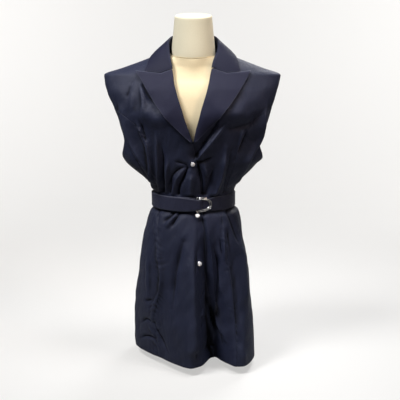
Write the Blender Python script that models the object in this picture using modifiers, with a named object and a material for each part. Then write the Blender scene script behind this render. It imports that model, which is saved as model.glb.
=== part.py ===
"""A sleeveless belted long waistcoat worn by a limbless dress form on a tabletop stand.

Metres, +Z up. The front faces -Y and the origin is under the middle of the neck, on the
surface that the stand rests on. The body of the waistcoat is one surface, read by a turn
round the body (degrees, 0 ahead, 90 towards +X, 180 behind) and a height. Every panel is cut
out of that surface, and what lies on a panel is made from the same surface moved out.
"""
import bpy
import math
import numpy as np

# ---------------------------------------------------------------- driving sizes
CLOTH = 0.0020              # wall of one layer of cloth
SEAM_GAP = 0.0003           # between two pieces that are sewn together
LAYER = 0.0031              # middle of one layer to middle of the next one on it
HEM_HEIGHT = 0.022
BELT_HEIGHT = 0.4485
BELT_WIDTH = 0.037
BELT_THICKNESS = 0.0022
UNDERARM_HEIGHT = 0.560
TIP_HEIGHT = 0.782          # where the shoulder ends and the armhole starts
NECKLINE_HEIGHT = 0.843
BREAK_HEIGHT = 0.6145       # where the lapels start to fold back
LAP = 0.034                 # how far the left front runs on under the right one
LAP_NARROWS = 0.045         # the lap grows to that over this much height
SMALLEST_LAP = 0.001
LAPEL_TIP_HEIGHT = 0.7905
RING_TUBE = 0.0014          # half the thickness of the ring's wire

# The waistcoat's sections, from hem to neckline
BODY_COLUMNS = ("height", "left_half", "right_half", "front", "back", "squareness")
BODY = (
    (0.022, 0.165, 0.166, 0.150, 0.140, 2.20),
    (0.100, 0.166, 0.165, 0.150, 0.138, 2.20),
    (0.170, 0.162, 0.158, 0.146, 0.134, 2.20),
    (0.240, 0.153, 0.152, 0.139, 0.128, 2.20),
    (0.310, 0.144, 0.140, 0.130, 0.121, 2.20),
    (0.380, 0.129, 0.130, 0.118, 0.108, 2.15),
    (0.414, 0.117, 0.123, 0.108, 0.096, 2.10),
    (0.428, 0.1075, 0.110, 0.100, 0.086, 2.02),
    (0.469, 0.1075, 0.110, 0.100, 0.086, 2.02),
    (0.481, 0.110, 0.114, 0.101, 0.087, 2.00),
    (0.497, 0.123, 0.125, 0.104, 0.089, 2.00),
    (0.530, 0.163, 0.157, 0.110, 0.095, 2.00),
    (0.547, 0.181, 0.172, 0.113, 0.098, 2.00),
    (0.560, 0.190, 0.187, 0.115, 0.101, 2.00),
    (0.580, 0.198, 0.192, 0.118, 0.104, 2.00),
    (0.612, 0.201, 0.193, 0.122, 0.108, 2.10),
    (0.645, 0.206, 0.203, 0.126, 0.112, 2.20),
    (0.677, 0.213, 0.213, 0.127, 0.115, 2.30),
    (0.710, 0.224, 0.221, 0.121, 0.117, 2.30),
    (0.742, 0.236, 0.228, 0.108, 0.116, 2.30),
    (0.760, 0.239, 0.231, 0.096, 0.112, 2.25),
    (0.782, 0.238, 0.231, 0.079, 0.105, 2.20),
    (0.800, 0.189, 0.184, 0.065, 0.097, 2.20),
    (0.815, 0.147, 0.145, 0.051, 0.088, 2.15),
    (0.829, 0.109, 0.109, 0.037, 0.077, 2.05),
    (0.843, 0.071, 0.073, 0.022, 0.063, 2.00),
)
# The lobes of the flared hem, seen from above
HEM_COLUMNS = ("turn", "x", "y")
HEM = (
    (-180, 0.004, 0.128),
    (-162, -0.034, 0.146),
    (-148, -0.078, 0.160),
    (-134, -0.112, 0.134),
    (-120, -0.136, 0.104),
    (-106, -0.164, 0.072),
    (-90, -0.166, 0.020),
    (-70, -0.146, -0.026),
    (-47, -0.099, -0.085),
    (-37, -0.086, -0.097),
    (-25, -0.061, -0.131),
    (-6, -0.017, -0.172),
    (0, -0.006, -0.1755),
    (9, 0.019, -0.160),
    (27, 0.0555, -0.094),
    (36, 0.090, -0.136),
    (44, 0.115, -0.1615),
    (51, 0.133, -0.159),
    (70, 0.166, -0.075),
    (90, 0.1655, 0.008),
    (106, 0.158, 0.060),
    (122, 0.128, 0.098),
    (137, 0.106, 0.140),
    (151, 0.070, 0.166),
    (166, 0.036, 0.142),
    (180, 0.004, 0.128),
)
HEM_GROWTH = 1.15           # how late the lobes open below the belt
# How far ahead of and behind the side the armhole's edge lies
ARMHOLE_COLUMNS = ("height", "ahead", "behind")
ARMHOLE = (
    (0.560, 0.000, 0.000),
    (0.563, 0.016, 0.014),
    (0.572, 0.030, 0.024),
    (0.590, 0.043, 0.034),
    (0.620, 0.053, 0.042),
    (0.660, 0.055, 0.046),
    (0.700, 0.048, 0.046),
    (0.740, 0.034, 0.038),
    (0.765, 0.020, 0.026),
    (0.776, 0.010, 0.014),
    (0.782, 0.000, 0.000),
)
# Edges and seams seen from the front: height, x
LEFT_EDGE = (               # the neckline and roll line towards -X
    (0.6145, -0.0035), (0.642, -0.0131), (0.673, -0.0240), (0.703, -0.0335), (0.733, -0.0435),
    (0.762, -0.0515), (0.792, -0.0560), (0.815, -0.0620), (0.843, -0.0695),
)
RIGHT_EDGE = (              # the same towards +X
    (0.6145, 0.0035), (0.642, 0.0085), (0.673, 0.0170), (0.703, 0.0250), (0.733, 0.0350),
    (0.762, 0.0430), (0.792, 0.0490), (0.815, 0.0560), (0.843, 0.0710),
)
LAP_EDGE = (                # the free edge of the front that lies on top
    (0.022, 0.0555), (0.133, 0.0527), (0.250, 0.0421), (0.326, 0.0383), (0.360, 0.0341),
    (0.387, 0.0288), (0.411, 0.0235), (0.472, 0.0241), (0.513, 0.0230), (0.553, 0.0110),
    (0.607, -0.0010), (0.6145, -0.0035),
)
LEFT_PRINCESS = (           # the seam from the armhole over the bust to the hem
    (0.022, -0.097), (0.071, -0.101), (0.132, -0.106), (0.185, -0.0945), (0.234, -0.086),
    (0.270, -0.087), (0.319, -0.0936), (0.383, -0.0937), (0.476, -0.0925), (0.540, -0.106),
    (0.573, -0.111), (0.608, -0.1175), (0.629, -0.130), (0.654, -0.1465), (0.672, -0.167),
    (0.690, -0.190), (0.7015, -0.211),
)
RIGHT_PRINCESS = (
    (0.022, 0.118), (0.093, 0.113), (0.146, 0.110), (0.198, 0.105), (0.250, 0.0995),
    (0.298, 0.090), (0.342, 0.0865), (0.390, 0.078), (0.424, 0.0785), (0.480, 0.0865),
    (0.537, 0.1015), (0.573, 0.1115), (0.608, 0.123), (0.641, 0.139), (0.667, 0.162),
    (0.690, 0.190), (0.704, 0.209),
)
LEFT_LAPEL_EDGE = (         # the outer edge of each lapel
    (0.6145, -0.0040), (0.6256, -0.0160), (0.648, -0.0400), (0.672, -0.0640), (0.700, -0.0880),
    (0.748, -0.1200), (0.7905, -0.1490),
)
RIGHT_LAPEL_EDGE = (
    (0.6145, 0.0050), (0.6256, 0.0150), (0.648, 0.0370), (0.681, 0.0690), (0.719, 0.1010),
    (0.755, 0.1270), (0.7905, 0.1490),
)
# Where each side's collar ends: gorge at the neck, notch and corner, as x, height
LEFT_GORGE = ((-0.0555, 0.797), (-0.0830, 0.787), (-0.1270, 0.7895))
RIGHT_GORGE = ((0.0500, 0.800), (0.0850, 0.787), (0.1200, 0.7895))

# Folds that show from a step away: side they are on, half width, rise (a trough is below
# zero) and path. The path is x, height seen from the front or back.
FOLDS = (
    ("front", 0.011, 0.010, ((-0.189, 0.689), (-0.162, 0.612), (-0.135, 0.560), (-0.110, 0.510))),
    ("front", 0.010, -0.013, ((-0.176, 0.604), (-0.152, 0.547), (-0.124, 0.495))),
    ("front", 0.009, -0.005, ((-0.163, 0.751), (-0.183, 0.711))),
    ("front", 0.008, 0.004, ((-0.136, 0.751), (-0.127, 0.707), (-0.133, 0.661))),
    ("front", 0.009, -0.007, ((-0.129, 0.748), (-0.109, 0.714), (-0.083, 0.692))),
    ("front", 0.026, 0.010, ((-0.111, 0.685), (-0.086, 0.680))),
    ("front", 0.007, 0.005, ((-0.128, 0.648), (-0.117, 0.615), (-0.111, 0.574), (-0.103, 0.491))),
    ("front", 0.007, 0.004, ((-0.092, 0.609), (-0.083, 0.485))),
    ("front", 0.008, -0.006, ((-0.026, 0.545), (-0.052, 0.521), (-0.062, 0.480))),
    ("front", 0.006, -0.008, ((-0.015, 0.542), (-0.029, 0.509), (-0.037, 0.478))),
    ("front", 0.008, -0.007, ((0.054, 0.546), (0.043, 0.508), (0.039, 0.478))),
    ("front", 0.008, 0.006, ((0.090, 0.575), (0.076, 0.506), (0.066, 0.478))),
    ("front", 0.008, 0.008, ((0.024, 0.582), (0.046, 0.613), (0.086, 0.663))),
    ("front", 0.010, -0.012, ((0.014, 0.600), (0.032, 0.623), (0.051, 0.650))),
    ("front", 0.026, 0.010, ((0.084, 0.690), (0.105, 0.683))),
    ("front", 0.008, -0.007, ((0.141, 0.641), (0.123, 0.608), (0.116, 0.585))),
    ("front", 0.011, 0.008, ((0.190, 0.689), (0.168, 0.606), (0.142, 0.553), (0.117, 0.505))),
    ("front", 0.010, -0.009, ((0.181, 0.613), (0.157, 0.561), (0.132, 0.503))),
    ("front", 0.008, -0.006, ((-0.046, 0.420), (-0.060, 0.392))),
    ("front", 0.009, 0.005, ((-0.094, 0.383), (-0.095, 0.336), (-0.086, 0.266), (-0.094, 0.185))),
    ("front", 0.010, -0.005, ((-0.034, 0.350), (-0.057, 0.306), (-0.067, 0.258))),
    ("front", 0.013, 0.006, ((-0.004, 0.390), (-0.006, 0.204), (-0.009, 0.024))),
    ("front", 0.008, 0.005, ((0.045, 0.390), (0.056, 0.340), (0.078, 0.191))),
    ("front", 0.009, -0.006, ((0.060, 0.180), (0.072, 0.153), (0.092, 0.088))),
    ("front", 0.009, 0.005, ((0.085, 0.385), (0.092, 0.342), (0.095, 0.298))),
    ("front", 0.009, -0.006, ((0.102, 0.291), (0.117, 0.238), (0.124, 0.196))),
    ("back", 0.012, 0.008, ((-0.180, 0.660), (-0.140, 0.560), (-0.085, 0.490))),
    ("back", 0.010, -0.009, ((-0.160, 0.570), (-0.115, 0.500))),
    ("back", 0.012, 0.008, ((0.182, 0.670), (0.138, 0.565), (0.080, 0.492))),
    ("back", 0.010, -0.009, ((0.158, 0.572), (0.112, 0.503))),
    ("back", 0.016, -0.006, ((-0.050, 0.770), (0.000, 0.755), (0.055, 0.768))),
)
# Gathers that the belt makes behind: x at the belt, x away from it, reach up, reach down, depth
GATHERS = (
    (-0.072, -0.090, 0.055, 0.060, 0.004),
    (-0.046, -0.058, 0.078, 0.095, 0.006),
    (-0.018, -0.022, 0.060, 0.070, 0.005),
    (0.012, 0.010, 0.085, 0.105, 0.006),
    (0.041, 0.052, 0.058, 0.082, 0.005),
    (0.069, 0.088, 0.074, 0.064, 0.005),
)
GATHER_WIDTH = 0.007
PRESS_REACH = 0.012         # the belt presses folds flat this far beyond its edges
SIDE_REACH = 0.025          # folds die out this near the side line

# The dress form's sections, from the hips to the base of the neck
FORM_COLUMNS = ("height", "half", "front", "back")
FORM = (
    (0.230, 0.112, 0.088, 0.084),
    (0.240, 0.120, 0.096, 0.092),
    (0.300, 0.121, 0.100, 0.096),
    (0.370, 0.112, 0.096, 0.088),
    (0.430, 0.098, 0.089, 0.075),
    (0.470, 0.096, 0.088, 0.072),
    (0.530, 0.112, 0.094, 0.080),
    (0.600, 0.140, 0.103, 0.092),
    (0.660, 0.158, 0.108, 0.100),
    (0.720, 0.166, 0.098, 0.103),
    (0.755, 0.172, 0.083, 0.098),
    (0.778, 0.168, 0.065, 0.090),
    (0.795, 0.138, 0.055, 0.080),
    (0.808, 0.104, 0.050, 0.071),
    (0.819, 0.076, 0.052, 0.064),
    (0.826, 0.062, 0.0575, 0.060),
)
FORM_SQUARENESS = 2.15
NECK_RADIUS = 0.0585
NECK_TOP_RADIUS = 0.0495
NECK_SEAM = (0.828, 0.845)  # height ahead and behind
NECK_TOP = (0.930, 0.945)
CAP_ROUND = 0.003
POLE_RADIUS = 0.0125
POLE_CENTRE_Y = 0.020
BASE_RADIUS = 0.085
BASE_THICKNESS = 0.010
BASE_ROUND = 0.002
BASE_CENTRE_Y = 0.036

# The grid of the cloth
SHOULDER_ROWS = (0.841, 0.835, 0.826, 0.815, 0.803, 0.792, 0.7835, 0.7775, 0.770)
CHEST_ROWS = tuple(np.linspace(0.756, 0.588, 10))
UNDERARM_ROWS = (0.573, 0.563, 0.556)
WAIST_ROWS = tuple(np.linspace(0.540, 0.479, 5))
BELT_ROWS = (0.468, 0.4485, 0.429)
SKIRT_ROWS = (0.418, 0.402) + tuple(np.linspace(0.378, HEM_HEIGHT, 12))
ROWS = SHOULDER_ROWS + CHEST_ROWS + UNDERARM_ROWS + WAIST_ROWS + BELT_ROWS + SKIRT_ROWS
CENTRE_COLUMNS = 10
SIDE_COLUMNS = 5
BACK_COLUMNS = 12
LAP_COLUMNS = 3
SWEEP = np.linspace(-89.5, 89.5, 359)


def material(name, colour, roughness, metallic=0.0):
    made = bpy.data.materials.new(name)
    made.use_nodes = True
    shader = made.node_tree.nodes["Principled BSDF"]
    shader.inputs["Base Color"].default_value = (*colour, 1.0)
    shader.inputs["Roughness"].default_value = roughness
    shader.inputs["Metallic"].default_value = metallic
    made.diffuse_color = (*colour, 1.0)
    return made


# ---------------------------------------------------------------- curves and surfaces
def smooth(xs, ys, x):
    """A curve through the points that never overshoots them, flat beyond both ends."""
    xs, ys = np.asarray(xs, float), np.asarray(ys, float)
    step = np.diff(xs)
    slope = np.diff(ys) / step
    same_way = slope[:-1] * slope[1:] > 0
    total = np.where(same_way, slope[:-1] + slope[1:], 1.0)
    inner = np.where(same_way, 2 * slope[:-1] * slope[1:] / total, 0.0)
    tangent = np.concatenate(([slope[0]], inner, [slope[-1]]))
    x = np.clip(x, xs[0], xs[-1])
    i = np.clip(np.searchsorted(xs, x) - 1, 0, len(step) - 1)
    t = (x - xs[i]) / step[i]
    value = ys[i] * (1 + 2 * t) * (1 - t) ** 2 + ys[i + 1] * t * t * (3 - 2 * t)
    return value + step[i] * t * (1 - t) * (tangent[i] * (1 - t) - tangent[i + 1] * t)


def column(table, names, name, at):
    """One column of a table, read at any value of its first column."""
    rows = np.array(table, float).T
    return smooth(rows[0], rows[names.index(name)], at)


def edge(table, height):
    heights, xs = np.array(table).T
    return smooth(heights, xs, height)


def ease(t):
    t = np.clip(t, 0.0, 1.0)
    return t * t * (3 - 2 * t)


def outline(turn, left, right, front, back, squareness):
    """A squared ellipse with its own reach on each of its four sides."""
    side, ahead = np.sin(np.radians(turn)), np.cos(np.radians(turn))
    half = np.where(side < 0, left, right)
    depth = np.where(ahead > 0, front, back)
    radius = (np.abs(side) / half) ** squareness + (np.abs(ahead) / depth) ** squareness
    radius = radius ** (-1 / squareness)
    return radius * side, -radius * ahead


def plain_section(turn, height):
    return outline(turn, *(column(BODY, BODY_COLUMNS, name, height) for name in BODY_COLUMNS[1:]))


def section(turn, height):
    """x, y of the waistcoat's surface without its folds."""
    turn, height = np.broadcast_arrays(np.asarray(turn, float), np.asarray(height, float))
    x, y = plain_section(turn, height)
    hem_x, hem_y = plain_section(turn, HEM_HEIGHT)
    below = (SKIRT_ROWS[0] - height) / (SKIRT_ROWS[0] - HEM_HEIGHT)
    opened = np.clip(below, 0, 1) ** HEM_GROWTH
    wrapped = (turn + 180) % 360 - 180
    x = x + opened * (column(HEM, HEM_COLUMNS, "x", wrapped) - hem_x)
    y = y + opened * (column(HEM, HEM_COLUMNS, "y", wrapped) - hem_y)
    return x, y


def front_turn(x, height):
    """The turn at which the front of the surface has this x."""
    x, height = np.broadcast_arrays(np.asarray(x, float), np.asarray(height, float))
    swept, _ = section(SWEEP, height[..., None])
    i = np.clip((swept < x[..., None]).sum(-1), 1, len(SWEEP) - 1)
    low = np.take_along_axis(swept, (i - 1)[..., None], -1)[..., 0]
    high = np.take_along_axis(swept, i[..., None], -1)[..., 0]
    t = np.clip((x - low) / np.maximum(high - low, 1e-9), 0, 1)
    return SWEEP[i - 1] + t * (SWEEP[i] - SWEEP[i - 1])


def armhole_turn(height, side, behind):
    """The turn of the armhole's edge, on side -1 or +1, or of the side line elsewhere."""
    name = "behind" if behind else "ahead"
    y = column(ARMHOLE, ARMHOLE_COLUMNS, name, height)
    y = np.where((height > UNDERARM_HEIGHT) & (height < TIP_HEIGHT), y, 0.0)
    half = column(BODY, BODY_COLUMNS, "left_half" if side < 0 else "right_half", height)
    depth = column(BODY, BODY_COLUMNS, "back" if behind else "front", height)
    power = column(BODY, BODY_COLUMNS, "squareness", height)
    x = half * (1 - (y / depth) ** power) ** (1 / power)
    turn = 90 + np.degrees(np.arctan2(y, x)) * (1 if behind else -1)
    return side * turn


def path_reach(x, height, path):
    """Distance to a path in the plane of view, and how far along it the nearest point is."""
    nearest = np.full(x.shape, np.inf)
    along = np.zeros(x.shape)
    lengths = [math.dist(a, b) for a, b in zip(path, path[1:])]
    done = 0.0
    for (ax, az), (bx, bz), length in zip(path, path[1:], lengths):
        ux, uz = (bx - ax) / length, (bz - az) / length
        t = np.clip((x - ax) * ux + (height - az) * uz, 0, length)
        reach = np.hypot(x - ax - t * ux, height - az - t * uz)
        closer = reach < nearest
        nearest = np.where(closer, reach, nearest)
        along = np.where(closer, done + t, along)
        done += length
    return nearest, along / done


def all_folds():
    rows = list(FOLDS)
    for at_belt, away, up, down, depth in GATHERS:
        above = BELT_HEIGHT + BELT_WIDTH / 2
        below = BELT_HEIGHT - BELT_WIDTH / 2
        rows.append(("back", GATHER_WIDTH, -depth, ((at_belt, above), (away, above + up))))
        rows.append(("back", GATHER_WIDTH, -depth, ((at_belt, below), (away, below - down))))
    return rows


def folds(x, y, height):
    """How far the folds lift the surface."""
    lift = np.zeros(x.shape)
    for side, width, rise, path in all_folds():
        here = (y < 0) if side == "front" else (y > 0)
        reach, along = path_reach(x, height, path)
        fade = 0.35 + 0.65 * np.sin(math.pi * np.clip(0.12 + 0.76 * along, 0, 1))
        lift += np.where(here, rise * fade * np.exp(-(reach / width) ** 2), 0.0)
    from_belt = np.abs(height - BELT_HEIGHT) - BELT_WIDTH / 2
    return lift * ease(from_belt / PRESS_REACH) * ease(np.abs(y) / SIDE_REACH)


def folded(turn, height):
    """Points of the waistcoat's surface with its folds, lifted level."""
    turn, height = np.broadcast_arrays(np.asarray(turn, float), np.asarray(height, float))
    x, y = section(turn, height)
    before = section(turn - 0.5, height)
    after = section(turn + 0.5, height)
    along_x, along_y = after[0] - before[0], after[1] - before[1]
    length = np.maximum(np.hypot(along_x, along_y), 1e-9)
    lift = folds(x, y, height)
    return np.stack([x + lift * along_y / length, y - lift * along_x / length, height], -1)


def unit(vectors):
    return vectors / np.maximum(np.linalg.norm(vectors, axis=-1, keepdims=True), 1e-12)


def cloth(turn, height, lift=0.0):
    """Points on the surface, moved out by lift, and the directions that face out there."""
    round_it = folded(turn + 0.4, height) - folded(turn - 0.4, height)
    up_it = folded(turn, height + 0.0015) - folded(turn, height - 0.0015)
    outward = unit(np.cross(round_it, up_it))
    return folded(turn, height) + outward * np.asarray(lift)[..., None], outward


def spread(first_turn, last_turn, height, count, gaps=(0.5, 0.5)):
    """Turns at even steps of length along one section, short of both ends by half a seam."""
    turns = np.linspace(first_turn, last_turn, 90)
    x, y = section(turns, height)
    length = np.concatenate(([0.0], np.cumsum(np.hypot(np.diff(x), np.diff(y)))))
    start = gaps[0] * SEAM_GAP
    end = length[-1] - gaps[1] * SEAM_GAP
    steps = np.linspace(start, max(end, start + 0.001), count)
    return np.interp(steps, length, turns)


# ---------------------------------------------------------------- making meshes
def add_object(name, verts, faces, look):
    mesh = bpy.data.meshes.new(name)
    mesh.from_pydata([tuple(v) for v in verts], [], faces)
    mesh.validate()
    piece = bpy.data.objects.new(name, mesh)
    PARTS.objects.link(piece)
    mesh.materials.append(look)
    mesh.shade_smooth()
    mesh.set_sharp_from_angle(angle=math.radians(50))
    return piece


def wall(name, middle, outward, thickness, look):
    """A closed wall round a grid of points: its outer side, its inner side and its rim."""
    rows, columns = middle.shape[:2]
    outer = (middle + outward * thickness / 2).reshape(-1, 3)
    inner = (middle - outward * thickness / 2).reshape(-1, 3)
    verts = np.concatenate([outer, inner])
    back = rows * columns
    faces = []
    for r in range(rows - 1):
        for c in range(columns - 1):
            a, b = r * columns + c, (r + 1) * columns + c
            faces.append((a, b, b + 1, a + 1))
            faces.append((back + a, back + a + 1, back + b + 1, back + b))
    rim = [r * columns for r in range(rows)]
    rim += [(rows - 1) * columns + c for c in range(1, columns)]
    rim += [r * columns + columns - 1 for r in range(rows - 2, -1, -1)]
    rim += [c for c in range(columns - 2, 0, -1)]
    for a, b in zip(rim, rim[1:] + rim[:1]):
        if a < b:
            faces += [(b, a, back + b), (a, back + a, back + b)]
        else:
            faces += [(b, a, back + a), (b, back + a, back + b)]
    return add_object(name, verts, faces, look)


def grid_outward(points):
    """The directions that face out of a grid whose rows run down and columns to the right."""
    down = np.gradient(points, axis=0)
    right = np.gradient(points, axis=1)
    return unit(np.cross(down, right))


def turned(name, profile, centre_y, look, steps=32):
    """A round piece: radius, height from the outside top to the bottom, turned about Z."""
    mesh = bpy.data.meshes.new(name)
    mesh.from_pydata([(radius, 0.0, z) for radius, z in profile], [
        (i, i + 1) for i in range(len(profile) - 1)], [])
    piece = bpy.data.objects.new(name, mesh)
    PARTS.objects.link(piece)
    piece.location = (0.0, centre_y, 0.0)
    mesh.materials.append(look)
    screw = piece.modifiers.new("turn", "SCREW")
    screw.steps = steps
    screw.render_steps = steps
    screw.use_merge_vertices = True
    screw.merge_threshold = 0.00001
    screw.use_smooth_shade = True
    return piece


def rings(name, loops, look):
    """A closed body through loops of points from the bottom up, capped at both ends."""
    count = len(loops[0])
    verts = [point for loop in loops for point in loop]
    faces = [tuple(reversed(range(count)))]
    for level in range(len(loops) - 1):
        low, high = level * count, (level + 1) * count
        for i in range(count):
            j = (i + 1) % count
            faces.append((low + i, low + j, high + j, high + i))
    top = (len(loops) - 1) * count
    faces.append(tuple(range(top, top + count)))
    return add_object(name, verts, faces, look)


# ---------------------------------------------------------------- the waistcoat
def rows_between(low, high):
    return [z for z in ROWS if low - 1e-9 <= z <= high + 1e-9]


LAP_SHADOW = 0.0025         # the under layer starts to rise this far past the free edge
LAP_RISE = 0.016            # and is level with the body this much further on
LAP_ABOVE = 0.030           # the same above the break


def lap_depth(x, height):
    """The front that lies underneath is let in by a layer, up to just past the free edge."""
    beyond = x - edge(LAP_EDGE, np.minimum(height, BREAK_HEIGHT)) - LAP_SHADOW
    above = height - BREAK_HEIGHT
    return -LAYER * (1 - ease(beyond / LAP_RISE)) * (1 - ease(above / LAP_ABOVE))


def front_columns(height, side):
    """Turns of a centre front's points, from its inner edge to its seam or armhole."""
    roll = LEFT_EDGE if side < 0 else RIGHT_EDGE
    princess = LEFT_PRINCESS if side < 0 else RIGHT_PRINCESS
    armhole = armhole_turn(height, side, behind=False)
    outer = armhole
    if height <= princess[-1][0]:
        seam = float(front_turn(edge(princess, height), height))
        outer = side * min(abs(seam), abs(armhole))
    if height >= BREAK_HEIGHT:
        inner = float(front_turn(edge(roll, height), height))
        return spread(inner, outer, height, CENTRE_COLUMNS + LAP_COLUMNS, (0, 0.5))
    free_edge = float(edge(LAP_EDGE, height))
    overlap = LAP * ease((BREAK_HEIGHT - height) / LAP_NARROWS) + SMALLEST_LAP
    stops = [free_edge - overlap * i / LAP_COLUMNS for i in range(LAP_COLUMNS + 1)]
    under = [float(front_turn(x, height)) for x in stops]
    if side > 0:
        onward = spread(under[0], outer, height, CENTRE_COLUMNS, (0, 0.5))
        return np.array(under[:0:-1] + list(onward))
    onward = spread(under[-1], outer, height, CENTRE_COLUMNS, (0, 0.5))
    return np.array(under[:-1] + list(onward))


def make_centre_front(name, side, look):
    heights = rows_between(HEM_HEIGHT, SHOULDER_ROWS[0])
    turns = np.array([front_columns(z, side) for z in heights])
    levels = np.array(heights)[:, None] + np.zeros(turns.shape)
    lift = np.zeros(turns.shape)
    if side > 0:
        x, _ = section(turns, levels)
        lift = lap_depth(x, levels)
    if side < 0:
        turns = turns[:, ::-1]
        lift = lift[:, ::-1]
    points, outward = cloth(turns, levels, lift)
    return wall(name, points, outward, CLOTH, look)


def seam_turn(height, side):
    """The princess seam's turn, never beyond the armhole."""
    princess = LEFT_PRINCESS if side < 0 else RIGHT_PRINCESS
    seam = float(front_turn(edge(princess, height), height))
    return side * min(abs(seam), abs(armhole_turn(height, side, behind=False)))


def make_side_front(name, side, look):
    heights = rows_between(HEM_HEIGHT, 0.70)
    turns = []
    for z in heights:
        inner = seam_turn(z, side)
        outer = armhole_turn(z, side, behind=False)
        turns.append(spread(inner, outer, z, SIDE_COLUMNS))
    turns = np.array(turns)
    if side < 0:
        turns = turns[:, ::-1]
    levels = np.array(heights)[:, None] + np.zeros(turns.shape)
    points, outward = cloth(turns, levels)
    return wall(name, points, outward, CLOTH, look)


def make_back(name, side, look):
    """Half of the back, from the side seam and armhole to the centre-back seam."""
    heights = (NECKLINE_HEIGHT,) + ROWS
    turns = []
    for z in heights:
        outer = armhole_turn(z, side, behind=True)
        turns.append(spread(outer, side * 180.0, z, BACK_COLUMNS))
    turns = np.array(turns)
    if side < 0:
        turns = turns[:, ::-1]
    levels = np.array(heights)[:, None] + np.zeros(turns.shape)
    points, outward = cloth(turns, levels)
    return wall(name, points, outward, CLOTH, look)


LAPEL_START = 0.04          # share of its width where the lapel leaves the roll
LAPEL_COLUMNS = (4, 4)      # points up to the notch, and from there to the tip
LAPEL_ROWS = 13
LAPEL_LIFT = 0.0035         # the outer edge stands off the front by this much more
LAPEL_FOLD = ((0.0022, 0.0012), (0.0014, 0.0028))   # in from the roll line, off the surface
GORGE_GAP = 0.0005          # half the gap between the collar's end and the lapel
GORGE_RISE = 0.0022         # the collar's end at the neck is this much above the gorge


def make_lapel(name, side, look):
    """The front folded back at the roll line, from the gorge down to the break."""
    roll = LEFT_EDGE if side < 0 else RIGHT_EDGE
    outer = LEFT_LAPEL_EDGE if side < 0 else RIGHT_LAPEL_EDGE
    gorge = LEFT_GORGE if side < 0 else RIGHT_GORGE
    down = np.linspace(0, 1, LAPEL_ROWS) ** 0.9
    roll_top, notch_top = gorge[0][1] - GORGE_GAP, gorge[1][1] - GORGE_GAP
    roll_z = roll_top + (BREAK_HEIGHT + 0.001 - roll_top) * down
    edge_z = LAPEL_TIP_HEIGHT + (BREAK_HEIGHT + 0.004 - LAPEL_TIP_HEIGHT) * down
    roll_x, edge_x = edge(roll, roll_z), edge(outer, edge_z)
    notch_at = (gorge[1][0] - roll_x[0]) / (edge_x[0] - roll_x[0])
    grid, lift = [], []
    for back_from_edge, rise in LAPEL_FOLD:
        turned_in = side * back_from_edge * (1 - 0.3 * down)
        grid.append(np.stack([roll_x - turned_in, roll_z], -1))
        lift.append(np.full(LAPEL_ROWS, rise))
    inner = np.linspace(LAPEL_START, notch_at, LAPEL_COLUMNS[0])
    outer_part = np.linspace(notch_at, 1, LAPEL_COLUMNS[1])[1:]
    for across in (*inner, *outer_part):
        x = roll_x + (edge_x - roll_x) * across
        z = roll_z + (edge_z - roll_z) * across
        top = np.interp(across, (0, notch_at, 1), (roll_top, notch_top, LAPEL_TIP_HEIGHT))
        z = z + (top - z[0]) * (1 - down) ** 3
        grid.append(np.stack([x, z], -1))
        lift.append(np.full(LAPEL_ROWS, LAYER + LAPEL_LIFT * across ** 0.8))
    grid, lift = np.array(grid), np.array(lift)
    if side < 0:
        grid, lift = grid[::-1], lift[::-1]
    grid, lift = grid.transpose(1, 0, 2), lift.T
    turns = front_turn(grid[..., 0], grid[..., 1])
    points, _ = cloth(turns, grid[..., 1], lift)
    return wall(name, points, grid_outward(points), CLOTH, look)


# The collar from the middle of the back to its end, towards +X. The seam and roll are
# x, y, height; the free edge lies on the body, behind at a turn and a height, and in front
# at x and a height. Towards the end the fall follows the gorge by the last column's share.
COLLAR_COLUMNS = ("seam", "roll", "edge", "gorge")
COLLAR = (
    ((0.000, 0.0645, 0.8455), (0.0000, 0.0680, 0.885), (180, 0.820), 0.0),
    ((0.026, 0.0590, 0.8455), (0.0250, 0.0620, 0.885), (163, 0.821), 0.0),
    ((0.049, 0.0430, 0.8455), (0.0470, 0.0440, 0.884), (143, 0.824), 0.0),
    ((0.064, 0.0210, 0.8455), (0.0600, 0.0180, 0.880), (120, 0.828), 0.0),
    ((0.069, 0.0020, 0.8455), (0.0640, -0.009, 0.868), (93, 0.831), 0.0),
    ((0.0665, -0.017, 0.838), (0.0640, -0.027, 0.849), (0.114, 0.820), 0.0),
    ((0.0620, -0.038, 0.822), (0.0605, -0.046, 0.829), (0.119, 0.807), 0.10),
    ((0.0590, -0.050, 0.809), (0.0575, -0.058, 0.812), (0.123, 0.799), 0.50),
    ((0.0575, -0.057, 0.7985), (0.0560, -0.064, 0.7985), (0.127, 0.7900), 1.0),
)
COLLAR_STAND = 3            # points up the stand
COLLAR_FALL = (0.12, 0.25, 0.38, 0.58, 0.79, 1.0)   # shares of the way down the fall
COLLAR_LIFT = 0.0060
COLLAR_INSET = 0.0026
ROLL_BULGE = 0.0011
COLLAR_THROW = 0.0034       # the fall starts this far out of the roll line
COLLAR_CROWN = 0.0050       # the fall bows up by this much
COLLAR_CLEAR = 0.0018       # it clears the front by a layer and this
GORGE_SHARES = (0.0, 0.38, 1.0)     # how far along the collar's end the notch and corner are


def collar_foot(place, side):
    """The point of the fall's free edge, lifted off the body."""
    across, height = place
    turn = side * across
    if across < 1:
        turn = front_turn(side * across, height)
    point, _ = cloth(np.array(float(turn)), np.array(float(height)), COLLAR_LIFT)
    return point


def ahead_of_front(point):
    """A point of the collar, moved ahead until it clears the front it lies on."""
    turn = front_turn(point[0], point[2])
    clear, _ = cloth(turn, np.array(point[2]), LAYER + COLLAR_CLEAR)
    return np.array([point[0], min(point[1], float(clear[1])), point[2]])


def gorge_point(gorge, share):
    """A point of the collar's end, laid on the front just above the lapel."""
    xs, heights = zip(*gorge)
    x = np.interp(share, GORGE_SHARES, xs)
    height = np.interp(share, GORGE_SHARES, heights) + GORGE_GAP
    point, _ = cloth(front_turn(x, height), np.array(height), LAYER + COLLAR_CLEAR)
    return point


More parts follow.
